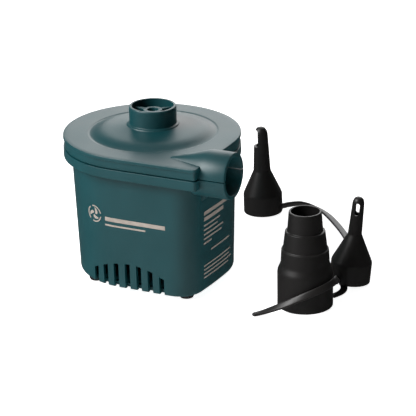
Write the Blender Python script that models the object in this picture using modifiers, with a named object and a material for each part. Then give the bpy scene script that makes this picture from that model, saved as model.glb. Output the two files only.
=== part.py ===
"""Rechargeable air pump with a tethered set of three nozzles, +Z up.

The origin is on the floor under the middle of the whole set. Every piece is placed in the pump's own
coordinates, whose zero is on the floor under the inlet, through the parent empty pump_axis. All sizes
in this file are millimetres; the functions that make objects turn them into metres.
"""
import math

import bmesh
import bpy
from mathutils import Matrix, Vector

MM = 0.001
GAP = 0.3
PUMP_AT = (-38.33, -32.7, 0)

# Heights of the casing
BODY_BOTTOM = 3.0
FLANGE_BOTTOM = 70.7
BODY_TOP = 76.1
COVER_BOTTOM = 76.7
LIP_BOTTOM = 81.1
COVER_TOP = 83.2
COLLAR_BASE = 87.6
COLLAR_TOP = 98.5

# Plans: the round side's radius, the right side's reach, the front's reach, the corner's radius and how
# far the right side falls back on its way to the corner
FLANGE_PLAN = (50.0, 52.0, 50.0, 1.8, 0.0)
BODY_TOP_PLAN = (45.2, 49.0, 45.5, 14.0, 1.5)
BODY_FOOT_PLAN = (42.5, 47.4, 43.8, 14.0, 1.5)
WALL = 2.0
PLAN_STEPS = 10
SIDE_STEPS = 3

# Inlet, which the fan and the motor share an axis with, and outlet
INLET_AT = (1.4, 0.6, 0)
COLLAR_R = 13.5
COLLAR_BORE_R = 12.0
DOME_R = 36.0
HUB_R = 5.5
HUB_HOLE_R = 3.15
HUB_TOP = 96.0
OUTLET_Y = -32.3
OUTLET_Z = 76.1
OUTLET_R = 13.2
OUTLET_BORE_R = 10.7
OUTLET_END = 67.0
FAIRING_START = (30.0, -35.9, 82.6)
FAIRING_END = 52.4

# Fan chamber
FLOOR_BOTTOM = 60.3
FLOOR_TOP = 62.4
SCROLL_TOP = 80.6
SCROLL_WALL = 1.4
IMPELLER_R = 29.0
BLADES = 9
BLADE_ROOT_R = 11.0

# Motor and cells
MOTOR_R = 13.85
MOTOR_TOP = 59.6
MOTOR_BOTTOM = 27.6
SHAFT_R = 1.15
CELL_R = 9.15
CELL_LENGTH = 65.0
CELL_Z = 15.9
CELL_Y = 9.8

# Vents: a comb of slots under an arch
VENT_COUNT = 7
VENT_PITCH = 7.15
VENT_WIDTH = 3.2
VENT_MIDDLE = 5.4
VENT_PEAK = 6.0
VENT_TOP = 18.4
VENT_ARCH_R = 42.0

# Back panel with the switch and the charging port
PANEL_Y = 40.6
PANEL_INSIDE = 37.4
SWITCH_Z = 42.0
SWITCH_TILT = math.radians(10)
PORT_Z = 23.0
LAMP_Z = 30.5

# Fasteners
POST_R = 3.2
PILOT_R = 1.5
SHANK_R = 1.2
HEAD_R = 2.2
UPPER_POSTS = [(-28.5, 28.5), (29.3, 29.3), (-39.7, -7.0), (43.6, -10.0)]
LOWER_POSTS = [(-27.2, 27.2), (29.0, 27.5), (-27.4, -27.6), (42.0, -15.0)]
FEET = [("foot_front_left", -21.0, -32.0), ("foot_front_right", 38.0, -35.0),
        ("foot_back_left", -21.0, 31.0), ("foot_back_right", 22.0, 32.5)]

# Nozzles
STEPPED_AT = (102.6, -16.7)
MEDIUM_AT = (23.9, 103.4)
SMALL_AT = (114.0, 21.5)
SMALL_LEAN = math.radians(5.9)
SMALL_LEAN_TOWARDS = math.radians(35)
MEDIUM_LEAN = math.radians(1.3)
MEDIUM_LEAN_TOWARDS = math.radians(205)
TETHER_R = 0.75

TEAL = (0.035, 0.085, 0.09)
CHARCOAL = (0.028, 0.026, 0.025)


def clear_scene():
    for thing in list(bpy.data.objects):
        bpy.data.objects.remove(thing, do_unlink=True)


def new_collection(name):
    group = bpy.data.collections.new(name)
    bpy.context.scene.collection.children.link(group)
    return group


def material(name, colour, roughness, metallic=0.0):
    made = bpy.data.materials.new(name)
    made.use_nodes = True
    shader = made.node_tree.nodes["Principled BSDF"]
    shader.inputs["Base Color"].default_value = (*colour, 1)
    shader.inputs["Roughness"].default_value = roughness
    shader.inputs["Metallic"].default_value = metallic
    made.diffuse_color = (*colour, 1)
    return made


def place(thing, at, turn, cutter):
    """Put an object in its collection, on the pump's axis empty."""
    group = CUTTERS if cutter else PARTS
    group.objects.link(thing)
    thing.parent = AXIS
    thing.location = Vector(at) * MM
    thing.rotation_euler = turn
    if cutter:
        thing.hide_render = True
        thing.display_type = "WIRE"
    return thing


def from_bmesh(name, bm, at=(0, 0, 0), turn=(0, 0, 0), cutter=False, smooth=30):
    bmesh.ops.recalc_face_normals(bm, faces=bm.faces)
    bmesh.ops.scale(bm, vec=(MM, MM, MM), verts=bm.verts)
    mesh = bpy.data.meshes.new(name)
    bm.to_mesh(mesh)
    bm.free()
    mesh.shade_smooth()
    mesh.set_sharp_from_angle(angle=math.radians(smooth))
    return place(bpy.data.objects.new(name, mesh), at, turn, cutter)


def box(name, low, high, at=(0, 0, 0), turn=(0, 0, 0), cutter=False):
    bm = bmesh.new()
    bmesh.ops.create_cube(bm, size=1)
    size = [high[i] - low[i] for i in range(3)]
    middle = [(high[i] + low[i]) / 2 for i in range(3)]
    bmesh.ops.scale(bm, vec=size, verts=bm.verts)
    bmesh.ops.translate(bm, vec=middle, verts=bm.verts)
    return from_bmesh(name, bm, at, turn, cutter)


def cylinder(name, radius, bottom, top, at=(0, 0, 0), turn=(0, 0, 0), cutter=False, sides=16, top_r=None):
    bm = bmesh.new()
    end_r = radius if top_r is None else top_r
    bmesh.ops.create_cone(bm, cap_ends=True, segments=sides, radius1=radius, radius2=end_r,
                          depth=top - bottom)
    bmesh.ops.translate(bm, vec=(0, 0, (top + bottom) / 2), verts=bm.verts)
    return from_bmesh(name, bm, at, turn, cutter)


def turned(name, profile, at=(0, 0, 0), turn=(0, 0, 0), cutter=False, steps=28, closed=False):
    """Turn a profile of (radius, height) about Z; its outer side runs downwards."""
    mesh = bpy.data.meshes.new(name)
    points = [(r * MM, 0, z * MM) for r, z in profile]
    edges = [(i, i + 1) for i in range(len(points) - 1)]
    if closed:
        edges.append((len(points) - 1, 0))
    mesh.from_pydata(points, edges, [])
    thing = place(bpy.data.objects.new(name, mesh), at, turn, cutter)
    screw = thing.modifiers.new("turn", "SCREW")
    screw.steps = steps
    screw.render_steps = steps
    screw.use_merge_vertices = True
    screw.merge_threshold = 0.00001
    screw.use_smooth_shade = True
    return thing


def plan(sizes, inset=0.0):
    """A round outline with one square corner, at the front right, as points in order round it."""
    round_r, right, front, corner, falls_back = sizes
    round_r -= inset
    right -= inset
    front -= inset
    corner = max(corner - inset, 0.5)
    points = []
    for step in range(PLAN_STEPS):
        angle = math.pi / 2 * step / PLAN_STEPS
        points.append((right * math.cos(angle), round_r * math.sin(angle)))
    for step in range(PLAN_STEPS):
        angle = math.pi / 2 * (1 + step / PLAN_STEPS)
        points.append((round_r * math.cos(angle), round_r * math.sin(angle)))
    for step in range(PLAN_STEPS):
        angle = math.pi / 2 * (2 + step / PLAN_STEPS)
        points.append((round_r * math.cos(angle), front * math.sin(angle)))
    points.append((0, -front))
    for step in range(5):
        angle = math.pi / 2 * (3 + step / 4)
        points.append((right - falls_back - corner + corner * math.cos(angle),
                       corner - front + corner * math.sin(angle)))
    for step in range(SIDE_STEPS, 0, -1):
        share = step / (SIDE_STEPS + 1)
        points.append((right - falls_back * share ** 2, (corner - front) * share))
    return points


def loft(name, sections, ring=False, cutter=False):
    """Skin a stack of outlines, each (points, height); a ring joins the last one to the first."""
    bm = bmesh.new()
    loops = [[bm.verts.new((x, y, z)) for x, y in points] for points, z in sections]
    pairs = list(zip(loops, loops[1:]))
    if ring:
        pairs.append((loops[-1], loops[0]))
    else:
        bm.faces.new(reversed(loops[0]))
        bm.faces.new(loops[-1])
    for lower, upper in pairs:
        for i in range(len(lower)):
            j = (i + 1) % len(lower)
            bm.faces.new((lower[i], lower[j], upper[j], upper[i]))
    return from_bmesh(name, bm, cutter=cutter)


def pipe(name, stations, sides=32, cutter=False):
    """A solid of round sections square to X, each (x, y, z, radius)."""
    bm = bmesh.new()
    loops = []
    for x, y, z, radius in stations:
        angles = [2 * math.pi * i / sides for i in range(sides)]
        loops.append([bm.verts.new((x, y + radius * math.cos(a), z + radius * math.sin(a)))
                      for a in angles])
    bm.faces.new(reversed(loops[0]))
    bm.faces.new(loops[-1])
    for lower, upper in zip(loops, loops[1:]):
        for i in range(sides):
            j = (i + 1) % sides
            bm.faces.new((lower[i], lower[j], upper[j], upper[i]))
    return from_bmesh(name, bm, cutter=cutter)


def prism(name, outline, low, high, at=(0, 0, 0), turn=(0, 0, 0), cutter=False):
    """Extrude an outline of (x, y) points from one height to another."""
    bm = bmesh.new()
    bottom = [bm.verts.new((x, y, low)) for x, y in outline]
    face = bm.faces.new(bottom)
    lifted = bmesh.ops.extrude_face_region(bm, geom=[face])["geom"]
    verts = [v for v in lifted if isinstance(v, bmesh.types.BMVert)]
    bmesh.ops.translate(bm, vec=(0, 0, high - low), verts=verts)
    return from_bmesh(name, bm, at, turn, cutter)


def combine(target, tool, operation):
    step = target.modifiers.new(tool.name, "BOOLEAN")
    step.operation = operation
    step.object = tool
    step.solver = "EXACT"


def cut(target, *tools):
    for tool in tools:
        combine(target, tool, "DIFFERENCE")


def fuse(target, *tools):
    for tool in tools:
        combine(target, tool, "UNION")


def paint(made, *things):
    for thing in things:
        thing.data.materials.append(made)


def smooth_route(points, spacing):
    """Points at an even spacing along a smooth curve through the given points."""
    knots = [Vector(p) for p in points]
    knots = [2 * knots[0] - knots[1]] + knots + [2 * knots[-1] - knots[-2]]
    fine = []
    for a, b, c, d in zip(knots, knots[1:], knots[2:], knots[3:]):
        for step in range(24):
            t = step / 24
            fine.append(0.5 * (2 * b + (c - a) * t + (2 * a - 5 * b + 4 * c - d) * t ** 2
                               + (3 * b - a - 3 * c + d) * t ** 3))
    fine.append(knots[-2])
    total = sum((b - a).length for a, b in zip(fine, fine[1:]))
    count = max(2, round(total / spacing))
    route = [fine[0]]
    walked = 0.0
    for a, b in zip(fine, fine[1:]):
        length = (b - a).length
        while len(route) < count and walked + length >= total * len(route) / count:
            route.append(a.lerp(b, (total * len(route) / count - walked) / length))
        walked += length
    route.append(fine[-1])
    return route


def cord(name, route, radius, made):
    curve = bpy.data.curves.new(name, "CURVE")
    curve.dimensions = "3D"
    curve.bevel_depth = radius * MM
    curve.bevel_resolution = 2
    curve.use_fill_caps = True
    spline = curve.splines.new("POLY")
    spline.points.add(len(route) - 1)
    for point, place_at in zip(spline.points, route):
        point.co = (*(place_at * MM), 1)
    curve.materials.append(made)
    return place(bpy.data.objects.new(name, curve), (0, 0, 0), (0, 0, 0), False)


# ---- casing


def outlet_rod(name, start, end, radius):
    """A round bar on the outlet's axis."""
    return pipe(name, [(start, OUTLET_Y, OUTLET_Z, radius), (end, OUTLET_Y, OUTLET_Z, radius)], cutter=True)


def make_top_cover():
    cover = loft("top_cover", [(plan(FLANGE_PLAN, 0.7), COVER_BOTTOM), (plan(FLANGE_PLAN, 0.7), LIP_BOTTOM),
                               (plan(FLANGE_PLAN), LIP_BOTTOM + 0.2), (plan(FLANGE_PLAN), COVER_TOP - 0.5),
                               (plan(FLANGE_PLAN, 0.5), COVER_TOP)])
    apex_x, apex_y, apex_z = FAIRING_START
    fairing = pipe("fairing", [(apex_x, apex_y, apex_z, 0.7), (FAIRING_END, OUTLET_Y, OUTLET_Z, OUTLET_R),
                               (OUTLET_END, OUTLET_Y, OUTLET_Z, OUTLET_R)], cutter=True)
    chamber = loft("cover_chamber", [(plan(FLANGE_PLAN, 2.7), 70),
                                     (plan(FLANGE_PLAN, 2.7), LIP_BOTTOM)], cutter=True)
    throat = pipe("outlet_throat", [(apex_x + 4, apex_y, 79.5, 0.5),
                                    (FAIRING_END, OUTLET_Y, OUTLET_Z, OUTLET_BORE_R),
                                    (OUTLET_END + 1, OUTLET_Y, OUTLET_Z, OUTLET_BORE_R)], cutter=True)
    dome = turned("dome", [(0, COLLAR_TOP), (COLLAR_R - 0.5, COLLAR_TOP), (COLLAR_R, COLLAR_TOP - 0.5),
                           (COLLAR_R, COLLAR_BASE + 0.6), (COLLAR_R + 1.1, COLLAR_BASE - 0.1), (28.0, 85.7),
                           (31.0, 84.9), (34.5, 83.5), (DOME_R, 83.1), (DOME_R, 82.0), (0, 82.0)],
                  at=INLET_AT, cutter=True, steps=40)
    dome_bore = turned("dome_bore", [(0, COLLAR_TOP + 1), (COLLAR_BORE_R, COLLAR_TOP + 1),
                                     (COLLAR_BORE_R, COLLAR_BASE + 0.4),
                                     (COLLAR_BORE_R + 1.2, COLLAR_BASE - 1.8), (27.0, 83.6),
                                     (31.0, 82.6), (DOME_R - 1.5, 81.2), (DOME_R - 1.5, 78.0),
                                     (0, 78.0)],
                       at=INLET_AT, cutter=True, steps=40)
    below = box("below_seam", (-60, -60, 50), (80, 60, COVER_BOTTOM), cutter=True)
    fuse(cover, fairing)
    cut(cover, chamber, throat)
    fuse(cover, dome)
    cut(cover, dome_bore, below)
    hub = turned("inlet_hub", [(HUB_R, HUB_TOP), (HUB_R, HUB_TOP - 3.5), (HUB_HOLE_R, HUB_TOP - 3.5),
                               (HUB_HOLE_R, HUB_TOP)], at=INLET_AT, cutter=True, closed=True)
    fuse(cover, hub)
    for name, degrees in (("spoke_back", 52), ("spoke_left", 172), ("spoke_front", 292)):
        spoke = box(name, (HUB_R - 0.9, -1.0, HUB_TOP - 3.0), (COLLAR_BORE_R + 0.6, 1.0, HUB_TOP - 0.2),
                    at=INLET_AT, turn=(0, 0, math.radians(degrees)), cutter=True)
        fuse(cover, spoke)
    return cover


def vent_cutter(name, x, front):
    """One slot, open at the bottom, whose top follows the arch."""
    left = x - VENT_WIDTH / 2
    right = x + VENT_WIDTH / 2
    peak = VENT_PEAK if front else 0.0
    tops = [VENT_TOP - (side - peak) ** 2 / (2 * VENT_ARCH_R) for side in (left, right)]
    outline = [(left, -1), (right, -1), (right, tops[1]), (left, tops[0])]
    reach = (20, 50) if front else (-50, -20)
    return prism(name, outline, *reach, turn=(math.pi / 2, 0, 0), cutter=True)


def make_body_shell():
    shell = loft("body_shell", [
        (plan(BODY_FOOT_PLAN, 2.0), BODY_BOTTOM),
        (plan(BODY_FOOT_PLAN, 0.7), BODY_BOTTOM + 0.6),
        (plan(BODY_FOOT_PLAN), BODY_BOTTOM + 2.4),
        (plan(BODY_TOP_PLAN), 68.2),
        (plan(BODY_TOP_PLAN, -0.8), 69.9),
        (plan(BODY_TOP_PLAN, -1.8), FLANGE_BOTTOM),
        (plan(FLANGE_PLAN, 0.5), FLANGE_BOTTOM),
        (plan(FLANGE_PLAN), FLANGE_BOTTOM + 0.5),
        (plan(FLANGE_PLAN), BODY_TOP),
        (plan(FLANGE_PLAN, 2.7), BODY_TOP),
        (plan(FLANGE_PLAN, 2.7), FLANGE_BOTTOM + 2.2),
        (plan(BODY_TOP_PLAN, WALL), FLANGE_BOTTOM + 1.8),
        (plan(BODY_FOOT_PLAN, WALL + 0.4), BODY_BOTTOM + 2.4),
        (plan(BODY_FOOT_PLAN, WALL + 0.8), BODY_BOTTOM),
    ], ring=True)
    panel_pad = box("panel_pad", (-13.8, PANEL_INSIDE, 15.2), (13.8, 41.4, 54.8), cutter=True)
    panel_face = box("panel_face", (-15, PANEL_Y, 15), (15, 60, 55), cutter=True)
    tube = outlet_rod("lower_tube", 45.6, OUTLET_END, OUTLET_R)
    bore = outlet_rod("lower_bore", 40, OUTLET_END + 1, OUTLET_BORE_R)
    above = box("above_seam", (-60, -60, BODY_TOP), (80, 60, 95), cutter=True)
    gusset = prism("gusset", [(46, 57.5), (48, 59), (53, 63.6), (46, 63.6)],
                   -0.8, 0.8, at=(0, OUTLET_Y, 0), turn=(math.pi / 2, 0, 0), cutter=True)
    fuse(shell, panel_pad)
    cut(shell, panel_face)
    fuse(shell, tube, gusset)
    cut(shell, bore, above)
    for k in range(VENT_COUNT):
        x = VENT_MIDDLE + (k - (VENT_COUNT - 1) / 2) * VENT_PITCH
        cut(shell, vent_cutter(f"front_vent_{k + 1}", x, True))
        cut(shell, vent_cutter(f"back_vent_{k + 1}", x - VENT_MIDDLE, False))
    for k, (x, y) in enumerate(UPPER_POSTS):
        fuse(shell, cylinder(f"upper_post_{k + 1}", POST_R, 44, FLOOR_BOTTOM - GAP,
                             at=(x, y, 0), cutter=True, sides=12))
        cut(shell, cylinder(f"upper_pilot_{k + 1}", PILOT_R, 50, 65,
                            at=(x, y, 0), cutter=True, sides=12))
    for k, (x, y) in enumerate(LOWER_POSTS):
        fuse(shell, cylinder(f"lower_post_{k + 1}", POST_R, 6.2, 19,
                             at=(x, y, 0), cutter=True, sides=12))
        cut(shell, cylinder(f"lower_pilot_{k + 1}", PILOT_R, 0, 15,
                            at=(x, y, 0), cutter=True, sides=12))
    cut(shell, box("switch_hole", (-4.5, 30, SWITCH_Z - 6.9), (4.5, 50, SWITCH_Z + 6.9),
                   cutter=True))
    cut(shell, box("port_hole", (-5.2, 30, PORT_Z - 2.4), (5.2, 50, PORT_Z + 2.4),
                   cutter=True))
    cut(shell, cylinder("lamp_hole", 1.8, 30, 50, at=(0, 0, LAMP_Z), turn=(-math.pi / 2, 0, 0),
                        cutter=True, sides=16))
    return shell


def make_base_plate():
    plate = loft("base_plate", [(plan(BODY_FOOT_PLAN, WALL + 1.2), 3.2),
                                (plan(BODY_FOOT_PLAN, WALL + 1.2), 5.4)])
    for k, (x, y) in enumerate(LOWER_POSTS):
        cut(plate, cylinder(f"base_hole_{k + 1}", PILOT_R, 0, 10, at=(x, y, 0), cutter=True, sides=12))
    return plate


def make_feet():
    profile = [(0, 2.7), (4.2, 2.7), (4.2, 1.4), (3.7, 0.5), (2.6, 0.0), (0, 0.0)]
    return [turned(name, profile, at=(x, y, 0), steps=16) for name, x, y in FEET]


def make_screw(name, x, y, z, downwards):
    """A pan-head screw whose head's bearing face is at height z."""
    head = 1.6
    shank_end = -8.0
    profile = [(0, head), (HEAD_R - 0.7, head), (HEAD_R, head * 0.55), (HEAD_R, 0.0), (SHANK_R, 0.0),
               (SHANK_R, shank_end), (0, shank_end - 1.0)]
    turn = (0, 0, 0) if downwards else (math.pi, 0, 0)
    return turned(name, profile, at=(x, y, z), turn=turn, steps=12)


# ---- fan chamber


def scroll_line(offset):
    """The scroll wall's line: a spiral that opens anticlockwise, then runs straight to the outlet."""
    points = []
    for step in range(25):
        turn = step / 24
        angle = math.radians(-38 + 308 * turn)
        radius = (30.6 + 7.4 * turn) + offset
        points.append((radius * math.cos(angle), radius * math.sin(angle)))
    points.append((22, points[-1][1] - 2.2))
    points.append((34.0, points[-1][1] - 0.7))
    return points


def beside_motor(sideways):
    """A point that far to the right of the motor's axis."""
    return (INLET_AT[0] + sideways, INLET_AT[1], 0)


def make_volute_floor():
    floor = loft("volute_floor", [(plan(BODY_TOP_PLAN, WALL + 1.0), FLOOR_BOTTOM),
                                  (plan(BODY_TOP_PLAN, WALL + 1.0), FLOOR_TOP)])
    outline = scroll_line(SCROLL_WALL) + scroll_line(0)[::-1]
    fuse(floor, prism("scroll", outline, FLOOR_TOP - 1, SCROLL_TOP, at=INLET_AT, cutter=True))
    cut(floor, cylinder("shaft_hole", 5.3, 50, 70, at=INLET_AT, cutter=True, sides=20))
    for side in (-1, 1):
        cut(floor, cylinder(f"motor_hole_{side}", PILOT_R, 50, 70, at=beside_motor(side * 8),
                            cutter=True, sides=12))
    for k, (x, y) in enumerate(UPPER_POSTS):
        cut(floor, cylinder(f"floor_hole_{k + 1}", PILOT_R, 50, 65, at=(x, y, 0),
                            cutter=True, sides=12))
    return floor


def make_impeller():
    bore = SHAFT_R + GAP
    disc = turned("impeller", [(0, 75.5), (3.2, 75.5), (4.6, 73.5), (5.2, 67.4), (9.0, 66.6),
                               (IMPELLER_R, 66.2), (IMPELLER_R, 65.0), (3.8, 65.0), (3.8, 64.2),
                               (bore, 64.2), (bore, 73.4), (0, 73.4)], at=INLET_AT, steps=36)
    for k in range(BLADES):
        inner = []
        outer = []
        for step in range(6):
            radius = BLADE_ROOT_R + (IMPELLER_R - 0.4 - BLADE_ROOT_R) * step / 5
            angle = 2 * math.pi * k / BLADES - math.radians(34 * step / 5)
            thick = 0.55 / radius
            inner.append((radius * math.cos(angle - thick), radius * math.sin(angle - thick)))
            outer.append((radius * math.cos(angle + thick), radius * math.sin(angle + thick)))
        fuse(disc, prism(f"blade_{k + 1}", inner + outer[::-1], 65.6, 79.4, at=INLET_AT, cutter=True))
    return disc


# ---- motor and cells


def make_motor():
    bore = SHAFT_R + GAP
    inside = MOTOR_R - 1.0
    can = turned("motor_can", [(4.9, MOTOR_TOP), (MOTOR_R - 0.65, MOTOR_TOP), (MOTOR_R, MOTOR_TOP - 0.6),
                               (MOTOR_R, MOTOR_BOTTOM), (inside, MOTOR_BOTTOM), (inside, MOTOR_TOP - 1.2),
                               (3.0, MOTOR_TOP - 1.2), (3.0, MOTOR_TOP - 0.7),
                               (4.9, MOTOR_TOP - 0.7)], at=INLET_AT, closed=True)
    for side in (-1, 1):
        cut(can, cylinder(f"can_hole_{side}", PILOT_R, 50, 70, at=beside_motor(side * 8),
                          cutter=True, sides=12))
    bush = turned("motor_bush", [(bore, 61.6), (4.5, 61.6), (4.5, 59.3), (bore, 59.3)],
                  at=INLET_AT, closed=True, steps=20)
    magnets = turned("motor_magnets", [(11.2, 53.0), (12.5, 53.0), (12.5, 32.0), (11.2, 32.0)],
                     at=INLET_AT, closed=True)
    armature = turned("motor_armature", [(bore, 56.0), (6.0, 56.0), (10.4, 52.0), (10.4, 35.0), (6.0, 32.5),
                                         (4.2, 32.0), (4.2, 28.4), (bore, 28.4)],
                      at=INLET_AT, closed=True)
    cap = turned("motor_end_cap", [(0, 27.3), (13.5, 27.3), (13.5, 26.9), (12.0, 26.9),
                                   (12.0, 26.85), (0, 26.85)], at=INLET_AT)
    shaft = cylinder("motor_shaft", SHAFT_R, 28.0, 73.1, at=INLET_AT, sides=12)
    return can, bush, magnets, armature, cap, shaft


def make_cells():
    quarter = math.pi / 2
    end = CELL_LENGTH / 2
    profile = [(0, end), (3.0, end), (3.0, end - 0.9), (CELL_R - 0.55, end - 0.9), (CELL_R, end - 1.5),
               (CELL_R, 0.6 - end), (CELL_R - 0.55, -end), (0, -end)]
    cells = []
    for name, side in (("battery_cell_front", -1), ("battery_cell_back", 1)):
        cells.append(turned(name, profile, at=(0, side * CELL_Y, CELL_Z), turn=(0, quarter, 0), steps=20))
    tray = box("battery_tray", (-30, -20.6, 6.0), (30, 20.6, 12.5))
    for side in (-1, 1):
        cut(tray, cylinder(f"tray_bed_{side}", CELL_R + GAP, -40, 40,
                           at=(0, side * CELL_Y, CELL_Z), turn=(0, quarter, 0), cutter=True, sides=28))
    strips = [box("battery_strip_left", (-33.1, -14, 13.0), (-32.8, 14, 19.0)),
              box("battery_strip_right", (32.8, -14, 13.0), (33.1, 14, 19.0))]
    return cells, tray, strips


def make_board():
    board = box("circuit_board", (-13, 30.6, 17), (13, 32.2, 34.5))
    port = box("charging_port", (-4.9, 32.5, PORT_Z - 2.1), (4.9, 40.3, PORT_Z + 2.1))
    cut(port, box("port_mouth", (-4.2, 33.4, PORT_Z - 1.45),
                  (4.2, 50, PORT_Z + 1.45), cutter=True))
    tongue = box("port_tongue", (-3.2, 33.7, PORT_Z - 0.35), (3.2, 39.4, PORT_Z + 0.35))
    lamp = turned("charge_lamp", [(0, 41.1), (0.9, 40.9), (1.5, 40.3), (1.5, 33.0), (0, 33.0)],
                  at=(0, 0, LAMP_Z), turn=(-math.pi / 2, 0, 0), steps=16)
    chip = box("charge_controller", (-11, 32.5, 19), (-6, 33.6, 24))
    return board, port, tongue, lamp, chip


def make_switch():
    housing = box("switch_housing", (-4.2, 29.5, SWITCH_Z - 6.6),
                  (4.2, PANEL_Y + 0.8, SWITCH_Z + 6.6))
    bezel = box("switch_bezel", (-5.4, PANEL_Y + GAP, SWITCH_Z - 7.8),
                (5.4, PANEL_Y + 1.6, SWITCH_Z + 7.8), cutter=True)
    well = box("switch_well", (-3.4, 34.5, SWITCH_Z - 5.8),
               (3.4, 50, SWITCH_Z + 5.8), cutter=True)
    fuse(housing, bezel)
    cut(housing, well)
    # the rocker's side view, in (along the panel, out of the panel), about its own hinge
    outline = [(-5.2, -0.6), (-2.0, -2.6), (2.0, -2.6), (5.2, -0.6), (5.3, 2.6), (0, 1.6), (-5.3, 2.6)]
    rocker = prism("switch_rocker", outline, -3.1, 3.1)
    stand = Matrix(((0, 0, 1, 0), (0, 1, 0, 0), (-1, 0, 0, 0), (0, 0, 0, 1)))
    rocker.data.transform(stand)
    rocker.location = Vector((0, PANEL_Y - 0.2, SWITCH_Z)) * MM
    rocker.rotation_euler = (-SWITCH_TILT, 0, 0)
    return housing, rocker


def make_wires(red, black):
    """Insulated leads between the cells, the board, the switch and the motor."""
    routes = [
        ("motor_wire_red", [(5, 3, 25.95), (7, 14, 25.95), (9, 23, 26.2), (8, 28, 29),
                            (6, 29.7, 33)], red),
        ("motor_wire_black", [(-5, 3, 25.95), (-7, 14, 25.95), (-9, 23, 26.2), (-8, 28, 29),
                              (-6, 29.7, 33)], black),
        ("battery_wire_red", [(34.2, 12, 16), (34.5, 20, 18), (26, 27, 21), (14, 29.4, 21)], red),
        ("battery_wire_black", [(-34.2, 12, 16), (-34.5, 20, 18), (-26, 27, 21), (-14, 29.4, 21)], black),
        ("switch_wire_red", [(0, 28.6, 45), (0, 25.6, 42), (2, 25.4, 37), (3, 29.7, 33.5)], red),
    ]
    for name, points, made in routes:
        cord(name, smooth_route(points, 4.5), 0.6, made)


# ---- nozzles and their tethers


def stood(at, radius, lean, towards):
    """Where a nozzle of that foot radius stands when it leans: its place, turn and whole matrix."""
    place_at = (*at, radius * math.sin(lean) + GAP)
    tip = Matrix.Rotation(lean, 4, (-math.sin(towards), math.cos(towards), 0))
    return place_at, tip.to_euler(), Matrix.Translation(Vector(place_at) * MM) @ tip


def make_nozzles():
    stepped_outside = [(9.1, 55.6), (10.0, 44.1), (11.3, 43.8), (12.4, 33.6), (13.3, 33.4),
                       (13.7, 25.0), (15.5, 21.0), (15.6, 0.0)]
    stepped_inside = [(13.6, 0.0), (13.5, 19.0), (12.2, 24.0), (11.8, 32.0), (11.0, 33.4),
                      (9.8, 42.4), (8.5, 43.8), (7.9, 55.6)]
    stepped = turned("nozzle_stepped", stepped_outside + stepped_inside,
                     at=(*STEPPED_AT, 0), closed=True)
    cone = [(12.0, 12.0), (12.0, 0.0), (10.3, 0.0), (10.3, 11.4)]
    medium_at, medium_turn, medium_stand = stood(MEDIUM_AT, 12.0, MEDIUM_LEAN, MEDIUM_LEAN_TOWARDS)
    medium = turned("nozzle_medium", [(0, 55.0), (2.2, 54.4), (3.7, 52.7), (4.2, 50.6), (5.3, 26.9)] + cone
                    + [(3.9, 26.5), (2.9, 50.1), (1.8, 52.5), (0, 53.1)], at=medium_at, turn=medium_turn)
    scoop = box("medium_scoop", (-9, -5, 42.8), (-2.0, 5, 53.3), cutter=True)
    scoop.matrix_local = medium_stand @ Matrix.Rotation(math.radians(22), 4, "Z")
    cut(medium, scoop)
    small_cone = [(11.7, 12.0), (11.7, 0.0), (10.1, 0.0), (10.1, 11.4)]
    small_at, small_turn, small_stand = stood(SMALL_AT, 11.7, SMALL_LEAN, SMALL_LEAN_TOWARDS)
    small = turned("nozzle_small", [(0, 50.5), (1.9, 49.9), (3.0, 48.6), (3.4, 46.8), (4.0, 28.2)]
                   + small_cone + [(2.8, 27.6), (2.2, 46.8), (1.2, 48.8), (0, 49.4)],
                   at=small_at, turn=small_turn)
    eye = box("small_eye", (-6, -1.3, 40), (6, 1.3, 47.2), cutter=True)
    eye.matrix_local = small_stand @ Matrix.Rotation(math.radians(-77), 4, "Z")
    cut(small, eye)
    return stepped, medium, small


def make_tethers(made):
    long_route = [(36.9, 101.4, 6.0), (39.7, 109.6, 4.8), (44.0, 117.2, 3.2), (51.7, 118.2, 2.1),
                  (61.7, 112.6, 1.1), (73.2, 100.6, 0.9), (86.6, 83.6, 0.9), (97.0, 66.4, 0.9),
                  (102.2, 51.8, 0.9), (103.4, 41.6, 0.9), (104.1, 33.4, 0.9), (106.4, 25.6, 0.9),
                  (110.2, 18.6, 0.9), (113.8, 13.2, 0.9), (115.8, 7.8, 0.9), (115.6, 2.4, 0.9),
                  (113.4, -3.0, 0.9)]
    short_route = [(110.0, 9.1, 4.0), (112.0, 5.6, 6.6), (114.9, 0.0, 10.2), (117.4, -6.0, 13.4),
                   (119.6, -12.0, 15.6), (120.2, -18.0, 16.6), (118.6, -24.3, 16.0),
                   (114.9, -29.3, 14.6), (109.6, -32.9, 12.2), (104.0, -34.9, 9.4),
                   (99.0, -36.2, 6.8), (94.0, -37.8, 4.5), (89.2, -40.0, 2.6), (85.7, -41.9, 1.5),
                   (82.4, -44.2, 0.9)]
    cord("tether_long", smooth_route(long_route, 4.5), TETHER_R, made)
    cord("tether_short", smooth_route(short_route, 4.5), TETHER_R, made)


# ---- assembly

clear_scene()
PARTS = new_collection("air_pump")
CUTTERS = new_collection("cutters")
AXIS = bpy.data.objects.new("pump_axis", None)
AXIS.location = Vector(PUMP_AT) * MM
PARTS.objects.link(AXIS)

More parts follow.
